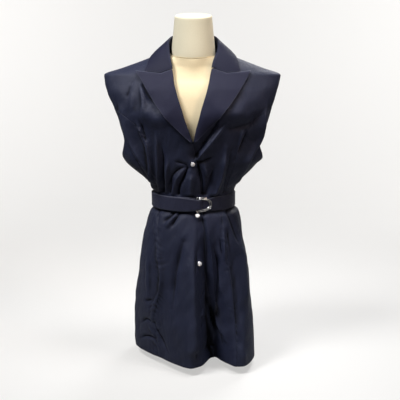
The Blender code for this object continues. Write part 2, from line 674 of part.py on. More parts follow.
def make_collar(look):
    """Stand and fall in one wall, bent over at the roll line."""
    stations = [(-1, row) for row in COLLAR[:0:-1]] + [(1, row) for row in COLLAR]
    grid = []
    for side, (seam, roll, place, follows) in stations:
        gorge = LEFT_GORGE if side < 0 else RIGHT_GORGE
        seam, roll = np.array(seam) * (side, 1, 1), np.array(roll) * (side, 1, 1)
        if seam[2] < NECKLINE_HEIGHT:
            down = (gorge[0][1] + GORGE_RISE - seam[2]) * follows
            moved = neckline_point(seam[2] + down, side) - seam
            seam, roll = seam + moved, roll + moved * (1, 1, 0) + np.array([0, 0, down])
        foot = collar_foot(place, side)
        line = [seam + (roll - seam) * i / COLLAR_STAND for i in range(COLLAR_STAND)]
        out = unit((foot - roll) * np.array([1, 1, 0]))
        line.append(roll + out * ROLL_BULGE + np.array([0, 0, ROLL_BULGE]))
        for t in COLLAR_FALL:
            point = roll + (foot - roll) * t + out * COLLAR_THROW * (1 - t)
            point[2] += COLLAR_CROWN * math.sin(math.pi * t)
            point += (gorge_point(gorge, t) - point) * follows
            line.append(ahead_of_front(point) if place[0] < 1 and t < 1 else point)
        grid.append(line)
    points = np.array(grid)
    return wall("collar", points, grid_outward(points), CLOTH, look)


def neckline_point(height, side):
    """The front's neck edge, moved in towards the neck by the collar's own wall."""
    x = float(edge(LEFT_EDGE if side < 0 else RIGHT_EDGE, height))
    turn = front_turn(x, height)
    _, y = section(turn, height)
    return np.array([x - side * COLLAR_INSET, float(y), height])


# ---------------------------------------------------------------- belt, rings and buttons
# One strap: its turn, how far its middle is from the waist, and half its width
STRAP_COLUMNS = ("travel", "offset", "half_width")
STRAP = (
    (0.0, 0.0029, 0.0165),
    (8.0, 0.0029, 0.0185),
    (330.0, 0.0029, 0.0185),
    (340.0, 0.0029, 0.0150),
    (349.5, 0.0034, 0.0128),
    (354.0, 0.0092, 0.0128),
    (366.0, 0.0094, 0.0165),
    (382.0, 0.0066, 0.0185),
    (468.0, 0.0062, 0.0185),
)
STRAP_START = 3.0           # turn of the sewn end, inside the rings' bars
STRAP_STEPS = 84
RINGS = (("ring_outer", 0.0085, 0.0370, 0.0190), ("ring_inner", 0.0130, 0.0285, 0.0150))
RING_OFFSET = 0.0064
RING_SIDE_POINTS = 14


def waist_point(turn, height, offset):
    """A point off the pressed waist, level with it."""
    x, y = section(turn, BELT_HEIGHT)
    before, after = section(turn - 0.5, BELT_HEIGHT), section(turn + 0.5, BELT_HEIGHT)
    along = unit(np.stack([after[0] - before[0], after[1] - before[1]], -1))
    return np.stack([x + along[..., 1] * offset, y - along[..., 0] * offset,
                     np.asarray(height) + 0 * x], -1)


def make_belt(look):
    ends = np.linspace(324, 390, 34)
    travel = np.concatenate([np.linspace(0, 316, STRAP_STEPS - 46), ends,
                             np.linspace(400, STRAP[-1][0], 12)])
    offset = column(STRAP, STRAP_COLUMNS, "offset", travel)
    half = column(STRAP, STRAP_COLUMNS, "half_width", travel)
    turn = STRAP_START - travel
    levels = (1.0, 0.0, -1.0)
    grid = np.stack([waist_point(turn, BELT_HEIGHT + level * half, offset) for level in levels])
    outward = grid_outward(grid[:, ::-1])[:, ::-1]
    outward[..., 2] = 0
    return wall("belt", grid[:, ::-1], unit(outward[:, ::-1]), BELT_THICKNESS, look)


def make_ring(name, bar_x, reach, half_height, look):
    """A D of round wire lying on the belt, its straight bar under the strap."""
    path = []
    for i in range(RING_SIDE_POINTS):
        angle = math.pi * (i / (RING_SIDE_POINTS - 1) - 0.5)
        squared = abs(math.sin(angle)) ** 0.8 * math.copysign(1, math.sin(angle))
        path.append((bar_x + reach * math.cos(angle) ** 0.9, half_height * squared))
    path = [(bar_x, half_height * t) for t in (0.5, 0.0, -0.5)] + path
    curve = bpy.data.curves.new(name, "CURVE")
    curve.dimensions = "3D"
    curve.bevel_depth = RING_TUBE
    curve.bevel_resolution = 2
    spline = curve.splines.new("POLY")
    spline.points.add(len(path) - 1)
    for point, (x, z) in zip(spline.points, path):
        turn = float(front_turn(x, BELT_HEIGHT))
        place = waist_point(turn, BELT_HEIGHT + z, RING_OFFSET)
        point.co = (*place, 1.0)
    spline.use_cyclic_u = True
    piece = bpy.data.objects.new(name, curve)
    PARTS.objects.link(piece)
    curve.materials.append(look)
    return piece


BUTTONS = (("button_top", -0.0014, 0.5574, 0.0018), ("button_middle", 0.0115, 0.4170, 0.0034),
           ("button_low", 0.0159, 0.2967, 0.0018))
BUTTON_PROFILE = ((0.0, 0.0034), (0.0028, 0.0033), (0.0048, 0.0028), (0.0060, 0.0020),
                  (0.0065, 0.0011), (0.0063, 0.0004), (0.0056, 0.0), (0.0, 0.0))


def make_button(name, x, height, off, look):
    turn = front_turn(x, height)
    place, outward = cloth(turn, np.array(height), off)
    piece = turned(name, BUTTON_PROFILE, 0.0, look, steps=16)
    piece.location = place
    piece.rotation_mode = "QUATERNION"
    piece.rotation_quaternion = to_quaternion(outward)
    return piece


def to_quaternion(direction):
    """The turn that takes +Z to a direction."""
    x, y, z = direction
    length = math.sqrt((1 + z) ** 2 + x * x + y * y)
    return ((1 + z) / length, -y / length, x / length, 0.0)


# ---------------------------------------------------------------- the dress form
def tilted(heights, turn):
    ahead = (1 + math.cos(math.radians(turn))) / 2
    return heights[1] + (heights[0] - heights[1]) * ahead


def make_form(look):
    turns = np.linspace(0, 360, 28, endpoint=False)
    loops = []
    levels = np.concatenate([np.linspace(0.230, 0.240, 2), np.linspace(0.270, 0.755, 16),
                             np.linspace(0.768, 0.826, 7)])
    for z in levels:
        half, front, back = (column(FORM, FORM_COLUMNS, n, z) for n in FORM_COLUMNS[1:])
        x, y = outline(turns, half, half, front, back, FORM_SQUARENESS)
        rise = 0.0
        if z > 0.80:
            rise = (z - 0.80) / 0.026
        tops = [z + rise * (tilted(NECK_SEAM, t) - NECK_SEAM[0]) for t in turns]
        loops.append(list(zip(x, y, tops)))
    body = rings("form_body", loops, look)
    neck = []
    for step, radius in ((0.0, NECK_RADIUS), (0.3, 0.0560), (0.6, 0.0530), (0.85, 0.0508),
                         (0.965, NECK_TOP_RADIUS), (1.0, NECK_TOP_RADIUS - CAP_ROUND)):
        loop = []
        for t in turns:
            low = tilted(NECK_SEAM, t) + SEAM_GAP
            high = tilted(NECK_TOP, t)
            angle = math.radians(t)
            loop.append((radius * math.sin(angle), -radius * math.cos(angle), low + (high - low) * step))
        neck.append(loop)
    return body, rings("form_neck", neck, look)


def make_stand(look):
    pole = ((0.0, FORM[0][0] - SEAM_GAP), (POLE_RADIUS, FORM[0][0] - SEAM_GAP),
            (POLE_RADIUS, BASE_THICKNESS + SEAM_GAP), (0.0, BASE_THICKNESS + SEAM_GAP))
    turned("stand_pole", pole, POLE_CENTRE_Y, look, steps=20)
    base = ((0.0, BASE_THICKNESS), (BASE_RADIUS - BASE_ROUND, BASE_THICKNESS),
            (BASE_RADIUS, BASE_THICKNESS - BASE_ROUND), (BASE_RADIUS, 0.0), (0.0, 0.0))
    turned("stand_base", base, BASE_CENTRE_Y, look, steps=40)


def main():
    navy = material("navy_cloth", (0.020, 0.024, 0.048), 0.6)
    cover = material("cream_cover", (0.80, 0.74, 0.58), 0.85)
    metal = material("polished_metal", (0.75, 0.75, 0.75), 0.22, 1.0)
    pearl = material("pearl_button", (0.78, 0.78, 0.80), 0.25)
    enamel = material("stand_enamel", (0.60, 0.58, 0.54), 0.4)
    make_centre_front("front_right", -1, navy)
    make_centre_front("front_left", 1, navy)
    make_side_front("side_front_right", -1, navy)
    make_side_front("side_front_left", 1, navy)
    make_back("back_right", -1, navy)
    make_back("back_left", 1, navy)
    make_lapel("lapel_right", -1, navy)
    make_lapel("lapel_left", 1, navy)
    make_collar(navy)
    make_belt(navy)
    for name, bar_x, reach, half_height in RINGS:
        make_ring(name, bar_x, reach, half_height, metal)
    for name, x, height, off in BUTTONS:
        make_button(name, x, height, off, pearl)
    make_form(cover)
    make_stand(enamel)


for old in list(bpy.data.objects):
    bpy.data.objects.remove(old)
PARTS = bpy.data.collections.new("belted_waistcoat")
bpy.context.scene.collection.children.link(PARTS)
main()
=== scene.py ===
"""The looks of a navy belted waistcoat and the cream dress form that wears it.

Metres, +Z up, the front faces -Y. The cloth is read from one surface, by a turn round the
body (degrees, 0 ahead, 90 towards +X, 180 behind) and a height. The tables of sections and
seams are the ones that the solids were cut from; the folds are finer here. A side is -1 for
the wearer's right, which is on -X, and 1 for the left.
"""
import math

import bpy
import numpy as np
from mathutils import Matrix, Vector


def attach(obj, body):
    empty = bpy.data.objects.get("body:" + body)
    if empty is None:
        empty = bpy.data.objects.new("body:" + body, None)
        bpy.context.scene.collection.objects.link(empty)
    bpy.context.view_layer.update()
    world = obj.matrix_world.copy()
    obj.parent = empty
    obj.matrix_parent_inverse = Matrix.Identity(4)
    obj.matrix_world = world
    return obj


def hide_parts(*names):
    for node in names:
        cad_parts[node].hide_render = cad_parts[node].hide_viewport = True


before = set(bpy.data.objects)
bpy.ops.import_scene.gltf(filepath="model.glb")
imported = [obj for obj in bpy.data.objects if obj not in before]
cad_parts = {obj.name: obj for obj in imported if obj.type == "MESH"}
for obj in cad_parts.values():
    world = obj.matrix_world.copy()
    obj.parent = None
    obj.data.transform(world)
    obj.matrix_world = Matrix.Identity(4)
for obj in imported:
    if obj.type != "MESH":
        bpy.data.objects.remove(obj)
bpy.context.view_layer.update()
FINE = 1.0       # share of the rows and columns that a sheet gets

# ---------------------------------------------------------------- driving sizes
CLOTH = 0.0016              # thickness of the cloth
SEAM_GAP = 0.00008
LAYER = 0.0031              # from one layer of cloth to the next
HEM_HEIGHT = 0.022
BELT_HEIGHT = 0.4485        # of the belt's middle
BELT_WIDTH = 0.037
BELT_THICKNESS = 0.0022
UNDERARM_HEIGHT = 0.560
TIP_HEIGHT = 0.782          # where the armhole reaches the shoulder
NECKLINE_HEIGHT = 0.843
FRONT_TOP = 0.841
BREAK_HEIGHT = 0.6145       # where the lapels start to fold back
SEAM_TOP = 0.700            # where the princess seams run into the armholes
LAP = 0.034                 # how far the left front runs on under the right one
LAP_NARROWS = 0.045         # height over which that ends below the break
SMALLEST_LAP = 0.001
LAPEL_TIP_HEIGHT = 0.7905

# The photo's camera: its place and how far it looks down
CAMERA_PLACE = (0.0175, -2.30, 0.872)
CAMERA_DOWN = math.radians(10.6)
LENS_PIXELS = 852
PHOTO_WIDTH = 400
SENSOR = 36.0


def mm(*rows):
    """A table written in millimetres or thousandths."""
    return np.array(rows, float) / 1000


# The waistcoat's sections from hem to neckline: height, its reach to each side, ahead and
# behind, and how square it is
LEFT, RIGHT, AHEAD, BEHIND, SQUARENESS = range(1, 6)
BODY = mm(
    (22, 165, 166, 150, 140, 2200), (100, 166, 165, 150, 138, 2200),
    (170, 162, 158, 146, 134, 2200), (240, 153, 152, 139, 128, 2200),
    (310, 144, 140, 130, 121, 2200), (380, 129, 130, 118, 108, 2150),
    (414, 117, 123, 108, 96, 2100), (428, 107.5, 110, 100, 86, 2020),
    (469, 107.5, 110, 100, 86, 2020), (481, 110, 114, 101, 87, 2000),
    (497, 123, 125, 104, 89, 2000), (530, 163, 157, 110, 95, 2000), (547, 181, 172, 113, 98, 2000),
    (560, 190, 187, 115, 101, 2000), (580, 198, 192, 118, 104, 2000),
    (612, 201, 193, 122, 108, 2100), (645, 206, 203, 126, 112, 2200),
    (677, 213, 213, 127, 115, 2300), (710, 224, 221, 121, 117, 2300),
    (742, 236, 228, 108, 116, 2300), (760, 239, 231, 96, 112, 2250), (782, 238, 231, 79, 105, 2200),
    (800, 189, 184, 65, 97, 2200), (815, 147, 145, 51, 88, 2150), (829, 109, 109, 37, 77, 2050),
    (843, 71, 73, 22, 63, 2000),
)
# The lobes of the flared hem, seen from above: turn, x, y
HEM = np.array((1000, 1, 1)) * mm(
    (-180, 4, 128), (-162, -34, 146), (-148, -78, 160), (-134, -112, 134), (-120, -136, 104),
    (-106, -164, 72), (-90, -166, 20), (-70, -146, -26), (-47, -99, -85), (-37, -86, -97),
    (-25, -61, -131), (-6, -17, -172), (0, -6, -175.5), (9, 19, -160), (27, 55.5, -94),
    (36, 90, -136), (44, 115, -161.5), (51, 133, -159), (70, 166, -75), (90, 165.5, 8),
    (106, 158, 60), (122, 128, 98), (137, 106, 140), (151, 70, 166), (166, 36, 142), (180, 4, 128),
)
HEM_GROWTH = 1.15
FLARE_TOP = 0.418
# How far ahead of and behind the side the armhole's edge lies: height, ahead, behind
ARMHOLE = mm(
    (560, 0, 0), (563, 16, 14), (572, 30, 24), (590, 43, 34), (620, 53, 42), (660, 55, 46),
    (700, 48, 46), (740, 34, 38), (765, 20, 26), (776, 10, 14), (782, 0, 0),
)
# Edges and seams seen from the front, on each side: height, x
ROLL = {
    -1: mm(
        (614.5, -3.5), (642, -13.1), (673, -24), (703, -33.5), (733, -43.5), (762, -51.5),
        (792, -56), (815, -62), (843, -69.5)),
    1: mm(
        (614.5, 3.5), (642, 8.5), (673, 17), (703, 25), (733, 35), (762, 43), (792, 49), (815, 56),
        (843, 71)),
}
LAP_EDGE = mm(
    (22, 55.5), (133, 52.7), (250, 42.1), (326, 38.3), (360, 34.1), (387, 28.8), (411, 23.5),
    (472, 24.1), (513, 23), (553, 11), (607, -1), (614.5, -3.5),
)
PRINCESS = {
    -1: mm(
        (22, -97), (71, -101), (132, -106), (185, -94.5), (234, -86), (270, -87), (319, -93.6),
        (383, -93.7), (476, -92.5), (540, -106), (573, -111), (608, -117.5), (629, -130),
        (654, -146.5), (672, -167), (690, -190), (701.5, -211)),
    1: mm(
        (22, 118), (93, 113), (146, 110), (198, 105), (250, 99.5), (298, 90), (342, 86.5),
        (390, 78), (424, 78.5), (480, 86.5), (537, 101.5), (573, 111.5), (608, 123), (641, 139),
        (667, 162), (690, 190), (704, 209)),
}
LAPEL_EDGE = {
    -1: mm(
        (614.5, -4), (625.6, -16), (648, -40), (672, -64), (700, -88), (748, -120), (790.5, -149)),
    1: mm(
        (614.5, 5), (625.6, 15), (648, 37), (681, 69), (719, 101), (755, 127), (790.5, 149)),
}
# Gorge at the neck, notch and corner of the collar: x, height
GORGE = {
    -1: mm(
        (-55.5, 797), (-83, 787), (-127, 789.5)),
    1: mm(
        (50, 800), (85, 787), (120, 789.5)),
}

# Folds, in millimetres: rise (a trough is below zero), width to the left and to the right of
# the path, strength at its start and end, and the path as x, height pairs seen from the
# front. Paths that run down have the wearer's left on their right.
FRONT_FOLDS = (
    # bodice, wearer's right: the drape from the armhole, the streaks beside the seam, the bust
    (10.5, 5, 14, 0.5, 0.5, -189, 689, -162, 612, -135, 560, -110, 510),
    (-10, 8, 6, 0.3, 0.6, -172, 609, -147, 553, -117, 501),
    (3, 4, 5, 0.2, 0.6, -160, 572, -135, 521, -117, 478),
    (-2.2, 8, 5, 0.2, 0.2, -161, 760, -174, 724),
    (2, 5, 6, 0.1, 0.2, -153, 752, -158, 722, -158, 686),
    (4.6, 3, 5, 0.3, 0.2, -137, 762, -129, 722, -126, 679),
    (-6.5, 4, 5, 0.6, 0.3, -131, 757, -116, 730, -100, 710),
    (5.2, 24, 24, 1.0, 1.0, -118, 688, -86, 672),
    (4.6, 3, 4, 0.2, 0.3, -143, 660, -133, 634, -123, 605),
    (-4.4, 3, 4, 0.2, 0.2, -136, 668, -126, 634, -118, 606),
    (7.8, 3, 7, 0.2, 0.7, -127, 640, -118, 597, -110, 543, -106, 482),
    (6.4, 5, 4, 0.1, 0.7, -96, 640, -90, 539, -88, 480),
    (-5.8, 4, 4, 0.1, 0.8, -82, 610, -78, 561, -80, 478),
    (4.4, 4, 4, 0.1, 0.8, -67, 567, -71, 480),
    (-3.2, 3, 4, 0.1, 0.8, -57, 524, -60, 479),
    # drags from the top button
    (-2.6, 3, 4, 0.1, 0.8, -50, 565, -19, 556),
    (-3.6, 4, 4, 0.6, 0.3, -16, 552, -37, 544, -56, 524, -67, 492),
    (3.2, 4, 4, 0.4, 0.9, -24, 540, -43, 516, -54, 477),
    (-10.5, 3, 3.6, 0.5, 1.0, -14, 547, -27, 520, -38, 494, -40, 469),
    (6.5, 10, 8, 0.3, 0.9, -5, 536, -7, 474),
    (-13, 3.4, 3.4, 0.6, 1.0, 10.5, 552, 15.5, 535, 21.5, 505, 23, 470),
    (3.5, 4, 6, 0.5, 0.2, 30, 549, 38, 519),
    (-8.5, 6, 5, 0.2, 1.0, 54, 546, 44, 514, 33, 473),
    (8.5, 8, 6, 0.2, 0.9, 85, 599, 75, 534, 54, 471),
    (-4.5, 5, 10, 0.2, 0.8, 98, 593, 91, 538, 81, 473),
    (-4, 3, 4, 0.8, 0.1, 12, 560, 33, 568, 54, 578),
    # wearer's left: the deep crease under the lapel, its bright edge, the bust, the drape
    (5, 3, 6, 0.2, 0.8, 87, 667, 51, 621, 30, 595, 10, 571),
    (-15, 12, 4, 0.3, 0.8, 60, 660, 37, 628, 18, 600, 9, 581),
    (4.8, 26, 26, 1.0, 1.0, 86, 690, 112, 688),
    (-6, 10, 10, 0.4, 0.4, 97, 649, 150, 662, 181, 692),
    (3.4, 3, 4, 0.2, 0.3, 131, 653, 121, 618, 114, 589),
    (-4.5, 3, 5, 0.2, 0.3, 142, 647, 129, 613, 119, 589),
    (9.5, 12, 6, 0.4, 0.6, 190, 689, 168, 606, 142, 553, 117, 501),
    (-10, 7, 9, 0.2, 0.7, 179, 613, 155, 561, 130, 495),
    # under the belt, wearer's right
    (-6.5, 4, 5, 1.0, 0.1, -43, 432, -59, 416, -84, 398),
    (4.5, 4, 5, 1.0, 0.1, -43, 422, -59, 406, -73, 384),
    (-7, 4, 4, 1.0, 0.1, -33, 430, -48, 407, -62, 386),
    (-4, 4, 5, 1.0, 0.1, -90, 428, -101, 407),
    # the skirt, wearer's right: the seam's light line, the two lobes and the dark between them
    (5.5, 4, 5, 0.2, 0.4, -103, 384, -94, 350, -92, 308, -84, 261, -87, 222, -107, 162, -113, 119),
    (3.4, 5, 3, 0.2, 0.2, -123, 310, -124, 187),
    (-8, 8, 11, 0.4, 0.2, -27, 353, -43, 300, -54, 238, -57, 176),
    (8, 18, 10, 0.1, 0.9, 4, 385, -1, 333, 0, 204, 3, 73),
    (-12.5, 16, 3.5, 0.4, 0.9, 25, 405, 33, 355, 38.5, 300, 41.5, 240, 45, 150, 50, 60),
    (-3, 3, 4, 0.2, 0.3, 8, 330, 3, 262),
    (-3, 3, 3, 0.2, 0.2, 36, 221, 18, 200),
    (3.2, 3, 3, 0.2, 0.2, 36, 172, 18, 155),
    (-3.2, 3, 3, 0.2, 0.2, 39, 146, 23, 124),
    # beside the free edge, wearer's left
    (8, 3, 10, 0.3, 0.3, 29, 416, 40, 343, 48, 247, 55, 156),
    (-9.5, 6, 3, 0.3, 0.2, 44, 197, 58, 130, 77, 75),
    (8, 3, 8, 0.3, 0.2, 53, 197, 66, 140, 87, 85),
    (-5, 4, 6, 0.2, 0.2, 52, 338, 63, 289, 68, 227),
    (4.4, 5, 6, 0.2, 0.2, 63, 295, 71, 247, 81, 194),
    (4.2, 3, 4, 0.2, 0.2, 78, 390, 81, 343, 85, 294),
    (-3.8, 3, 3, 0.2, 0.2, 70, 359, 76, 309),
    (-3, 3, 4, 0.2, 0.2, 92, 378, 98, 321),
    (-8, 18, 18, 0.2, 0.3, 100, 352, 110, 274, 118, 196, 121, 93),
    (5.2, 8, 6, 0.2, 0.2, 120, 371, 136, 277, 146, 155),
    (-5, 4, 6, 1.0, 0.2, 87, 429, 108, 380, 125, 329),
    (3, 5, 6, 0.2, 0.2, 123, 85, 137, 35),
    # marks drawn up by the seam near the hem
    (-3.4, 3, 3, 0.2, 0.2, -133, 172, -112, 185),
    (-4, 3, 3, 0.2, 0.3, -146, 104, -128, 122, -107, 119),
    (-4, 3, 3, 0.2, 0.3, -147, 57, -129, 72, -102, 76),
    (-3.8, 3, 4, 0.4, 0.2, -110, 121, -91, 86, -69, 49),
    (2.6, 3, 3, 0.2, 0.2, -122, 107, -105, 81),
)
# The same behind, seen through from the front
BACK_FOLDS = (
    (8, 12, 9, 0.4, 0.5, -182, 665, -140, 560, -85, 490),
    (-9.5, 10, 8, 0.2, 0.7, -162, 574, -115, 498),
    (8.5, 9, 12, 0.4, 0.5, 184, 672, 138, 565, 80, 490),
    (-9.5, 8, 10, 0.2, 0.7, 160, 576, 112, 500),
    (-6, 14, 18, 0.3, 0.3, -56, 772, 0, 755, 58, 769),
    (-3.5, 7, 8, 0.2, 0.2, -150, 735, -118, 700, -104, 656),
    (-3.8, 8, 7, 0.2, 0.2, 146, 730, 116, 690, 107, 640),
    (6, 9, 12, 0.3, 0.3, -52, 392, -68, 280, -74, 160),
    (-5, 10, 8, 0.2, 0.3, -20, 380, -14, 250, -4, 120),
    (5.8, 12, 9, 0.3, 0.3, 40, 396, 56, 290, 64, 150),
    (-4.6, 8, 9, 0.2, 0.2, 92, 372, 108, 270, 118, 170),
    (4, 7, 6, 0.2, 0.2, -104, 360, -120, 240),
)
# Gathers that the belt makes behind: x at the belt, x away from it, reach up and down, depth
GATHERS = mm(
    (-84, -106, 34, 44, 3.4), (-72, -90, 55, 60, 4.2), (-58, -66, 36, 40, 3), (-46, -58, 78, 95, 6),
    (-31, -36, 30, 46, 3), (-18, -22, 60, 70, 5), (-3, -4, 38, 34, 2.8), (12, 10, 85, 105, 6),
    (27, 33, 34, 52, 3.2), (41, 52, 58, 82, 5), (55, 66, 40, 38, 3), (69, 88, 74, 64, 5),
    (82, 102, 36, 48, 3.2),
)
GATHER_WIDTH = 0.0052
GATHER_ENDS = (1.0, 0.1)
PRESS_REACH = 0.010
SIDE_REACH = 0.025
FOLD_STRENGTH = 1.65
FOLD_POWERS = (1.4, 2.0)    # of narrow and of wide folds: 2 is a round one, 1 a sharp one
FOLD_WIDTHS = (0.008, 0.018)
FOLD_FADES = 0.35           # share of a fold over which it fades at each end
FOLD_REACH = 3.2            # widths from its path at which a fold has run out
PATH_STEPS = 5
# How deep folds may sink before they would touch the form: height, depth
DEEPEST = mm(
    (300, 19), (400, 9.5), (428, 8.5), (500, 8.5), (550, 12),
)

# Puckers along the sewn seams: how strong they are at each height, on the right and the left
PUCKERS = mm(
    (22, 1.4, 0.8), (70, 2.8, 1), (110, 3.1, 1.1), (190, 2.6, 1.3), (300, 1.7, 1.6),
    (390, 1.3, 1.6), (480, 1, 1), (600, 1.3, 1.4), (700, 0.8, 1),
)
PUCKER_SLANTS = {-1: 0.7, 1: -0.8}
PUCKER_REACH = 0.0095
PUCKER_PITCH = 0.0215
PUCKER_FADES = 0.05
PUCKER_SHIFT = 0.004        # puckers run on across the seam a little higher up
PUCKER_TURN = 0.003
PUCKER_ENDS = 3.5           # reaches from the seam at which a pucker has run out
SEAM_DIP = (0.35, 0.3)      # depth and width of the seam itself, as shares of the puckers
# The sway of hanging cloth: size, waves round, waves up, phase
SWAYS = ((0.0005, 31.0, 12.0, 0.4), (0.0004, -17.0, 43.0, 1.9), (0.0005, 9.0, 24.0, 3.1),
         (0.0003, 68.0, 25.0, 0.9), (0.00025, -52.0, 71.0, 2.6), (0.00016, 118.0, -64.0, 5.0))
SWAY_STOPS = 30.0           # degrees before the centre back seam over which the sway runs out

# The snap caps: x, height, how far they sit off the surface
SNAPS = (("button_top", -0.0014, 0.5574, 0.0018), ("button_middle", 0.0115, 0.4170, 0.0034),
         ("button_low", 0.0159, 0.2967, 0.0032))
SNAP_FLAT = 0.0100
SNAP_DENT = 0.0010
SNAP_DENT_REACH = 0.011

# The dress form from the hips to the base of the neck: height, half its width, ahead, behind
FORM = mm(
    (230, 112, 88, 84), (240, 120, 96, 92), (300, 121, 100, 96), (370, 112, 96, 88),
    (430, 98, 89, 75), (470, 96, 88, 72), (530, 112, 94, 80), (600, 140, 103, 92),
    (660, 158, 108, 100), (720, 166, 98, 103), (755, 172, 83, 98), (778, 168, 65, 90),
    (795, 138, 55, 80), (808, 104, 50, 71), (819, 76, 52, 64), (826, 62, 57.5, 60),
)
FORM_SQUARENESS = 2.15
# How far the throat comes forward in the middle, just under the neck seam
THROAT = mm(
    (770, 0), (795, 6), (808, 9.8), (819, 7.2), (826, 0.8),
)
THROAT_WIDTH = 0.036
# Heights in front and behind, and the neck's radius at shares of its height
NECK_SEAM = (0.828, 0.845)
NECK_TOP = (0.930, 0.945)
NECK_PROFILE = ((0.0, 0.0578), (0.012, 0.0579), (0.3, 0.0560), (0.6, 0.0530), (0.85, 0.0508),
                (0.955, 0.0497), (0.985, 0.0486), (1.0, 0.0460))
WELT_RADIUS = 0.0006

# Turns at which the front is read, and how far to each side of a point the surface and
# the cloth are read to find which way they face: degrees, and height
SWEEP = np.linspace(-89.5, 89.5, 359)
SECTION_TURN = 0.5
CLOTH_TURN, CLOTH_UP = 0.3, 0.0010
CALM_TURN, CALM_UP = 0.4, 0.004


# ---------------------------------------------------------------- curves and surfaces
def smooth(xs, ys, x):
    """A curve through the points that never overshoots them, flat beyond both ends."""
    xs, ys = np.asarray(xs, float), np.asarray(ys, float)
    step = np.diff(xs)
    slope = np.diff(ys) / step
    same_way = slope[:-1] * slope[1:] > 0
    total = np.where(same_way, slope[:-1] + slope[1:], 1.0)
    inner = np.where(same_way, 2 * slope[:-1] * slope[1:] / total, 0.0)
    tangent = np.concatenate(([slope[0]], inner, [slope[-1]]))
    x = np.clip(x, xs[0], xs[-1])
    i = np.clip(np.searchsorted(xs, x) - 1, 0, len(step) - 1)
    t = (x - xs[i]) / step[i]
    value = ys[i] * (1 + 2 * t) * (1 - t) ** 2 + ys[i + 1] * t * t * (3 - 2 * t)
    return value + step[i] * t * (1 - t) * (tangent[i] * (1 - t) - tangent[i + 1] * t)


def read(table, at, which=1):
    """One column of a table, read at places along its first column."""
    columns = np.array(table, float).T
    return smooth(columns[0], columns[which], at)


def ease(t):
    t = np.clip(t, 0.0, 1.0)
    return t * t * (3 - 2 * t)


def unit(vectors):
    return vectors / np.maximum(np.linalg.norm(vectors, axis=-1, keepdims=True), 1e-12)


def outline(turn, left, right, front, back, squareness):
    side, ahead = np.sin(np.radians(turn)), np.cos(np.radians(turn))
    half = np.where(side < 0, left, right)
    depth = np.where(ahead > 0, front, back)
    radius = (np.abs(side) / half) ** squareness + (np.abs(ahead) / depth) ** squareness
    radius = radius ** (-1 / squareness)
    return radius * side, -radius * ahead


def plain_section(turn, height):
    return outline(turn, *(read(BODY, height, i) for i in range(LEFT, SQUARENESS + 1)))


def section(turn, height):
    """x, y of the waistcoat's surface without its folds."""
    turn, height = np.broadcast_arrays(np.asarray(turn, float), np.asarray(height, float))
    below = (FLARE_TOP - height) / (FLARE_TOP - HEM_HEIGHT)
    opened = np.clip(below, 0, 1) ** HEM_GROWTH
    wrapped = (turn + 180) % 360 - 180
    return tuple(here + opened * (read(HEM, wrapped, i) - hem) for i, here, hem in
                 zip((1, 2), plain_section(turn, height), plain_section(turn, HEM_HEIGHT)))


def front_turn(x, height):
    """The turn at which the front of the surface has this x."""
    x, height = np.broadcast_arrays(np.asarray(x, float), np.asarray(height, float))
    swept, _ = section(SWEEP, height[..., None])
    i = np.clip((swept < x[..., None]).sum(-1), 1, len(SWEEP) - 1)
    low, high = (np.take_along_axis(swept, at[..., None], -1)[..., 0] for at in (i - 1, i))
    t = np.clip((x - low) / np.maximum(high - low, 1e-9), 0, 1)
    return SWEEP[i - 1] + t * (SWEEP[i] - SWEEP[i - 1])


def armhole_turn(height, side, behind=False):
    """The turn of the armhole's edge, or of the side line above and below it."""
    beside = (height > UNDERARM_HEIGHT) & (height < TIP_HEIGHT)
    y = np.where(beside, read(ARMHOLE, height, 2 if behind else 1), 0.0)
    half = read(BODY, height, LEFT if side < 0 else RIGHT)
    depth = read(BODY, height, BEHIND if behind else AHEAD)
    power = read(BODY, height, SQUARENESS)
    x = half * (1 - (y / depth) ** power) ** (1 / power)
    return side * (90 + np.degrees(np.arctan2(y, x)) * (1 if behind else -1))


def rounded_path(path):
    """More points on a smooth curve through a fold's path."""
    lengths = np.concatenate(([0], np.cumsum(np.linalg.norm(np.diff(path, axis=0), axis=1))))
    at = np.linspace(0, lengths[-1], (len(path) - 1) * PATH_STEPS + 1)
    if len(path) == 2:
        at = lengths
    return np.stack([smooth(lengths, path[:, i], at) for i in range(2)], -1)


def path_reach(x, height, path):
    """Signed distance to a path, left of it below zero, and the share of the way along it."""
    nearest = np.full(x.shape, np.inf)
    along = np.zeros(x.shape)
    done = 0.0
    for start, end in zip(path, path[1:]):
        length = math.dist(start, end)
        ux, uz = (end - start) / length
        t = np.clip((x - start[0]) * ux + (height - start[1]) * uz, 0, length)
        dx, dz = x - start[0] - t * ux, height - start[1] - t * uz
        reach = np.hypot(dx, dz)
        closer = reach < np.abs(nearest)
        nearest = np.where(closer, reach * np.where(ux * dz - uz * dx > 0, 1.0, -1.0), nearest)
        along = np.where(closer, done + t, along)
        done += length
    return nearest, along / done


def all_folds():
    """Every fold as its side (-1 in front), rise, widths, strengths at its ends, and path."""
    rows = [(way, rise / 1000, mm(left, right), (start, end), rounded_path(mm(*zip(xs[::2], xs[1::2]))))
            for way, folds in ((-1, FRONT_FOLDS), (1, BACK_FOLDS))
            for rise, left, right, start, end, *xs in folds]
    for at_belt, away, up, down, depth in GATHERS:
        for way, reach in ((1, up), (-1, down)):
            belt_edge = BELT_HEIGHT + way * BELT_WIDTH / 2
            path = np.array([(at_belt, belt_edge), (away, belt_edge + way * reach)])
            rows.append((1, -depth, (GATHER_WIDTH, GATHER_WIDTH), GATHER_ENDS, rounded_path(path)))
    return rows


FOLD_ROWS = all_folds()


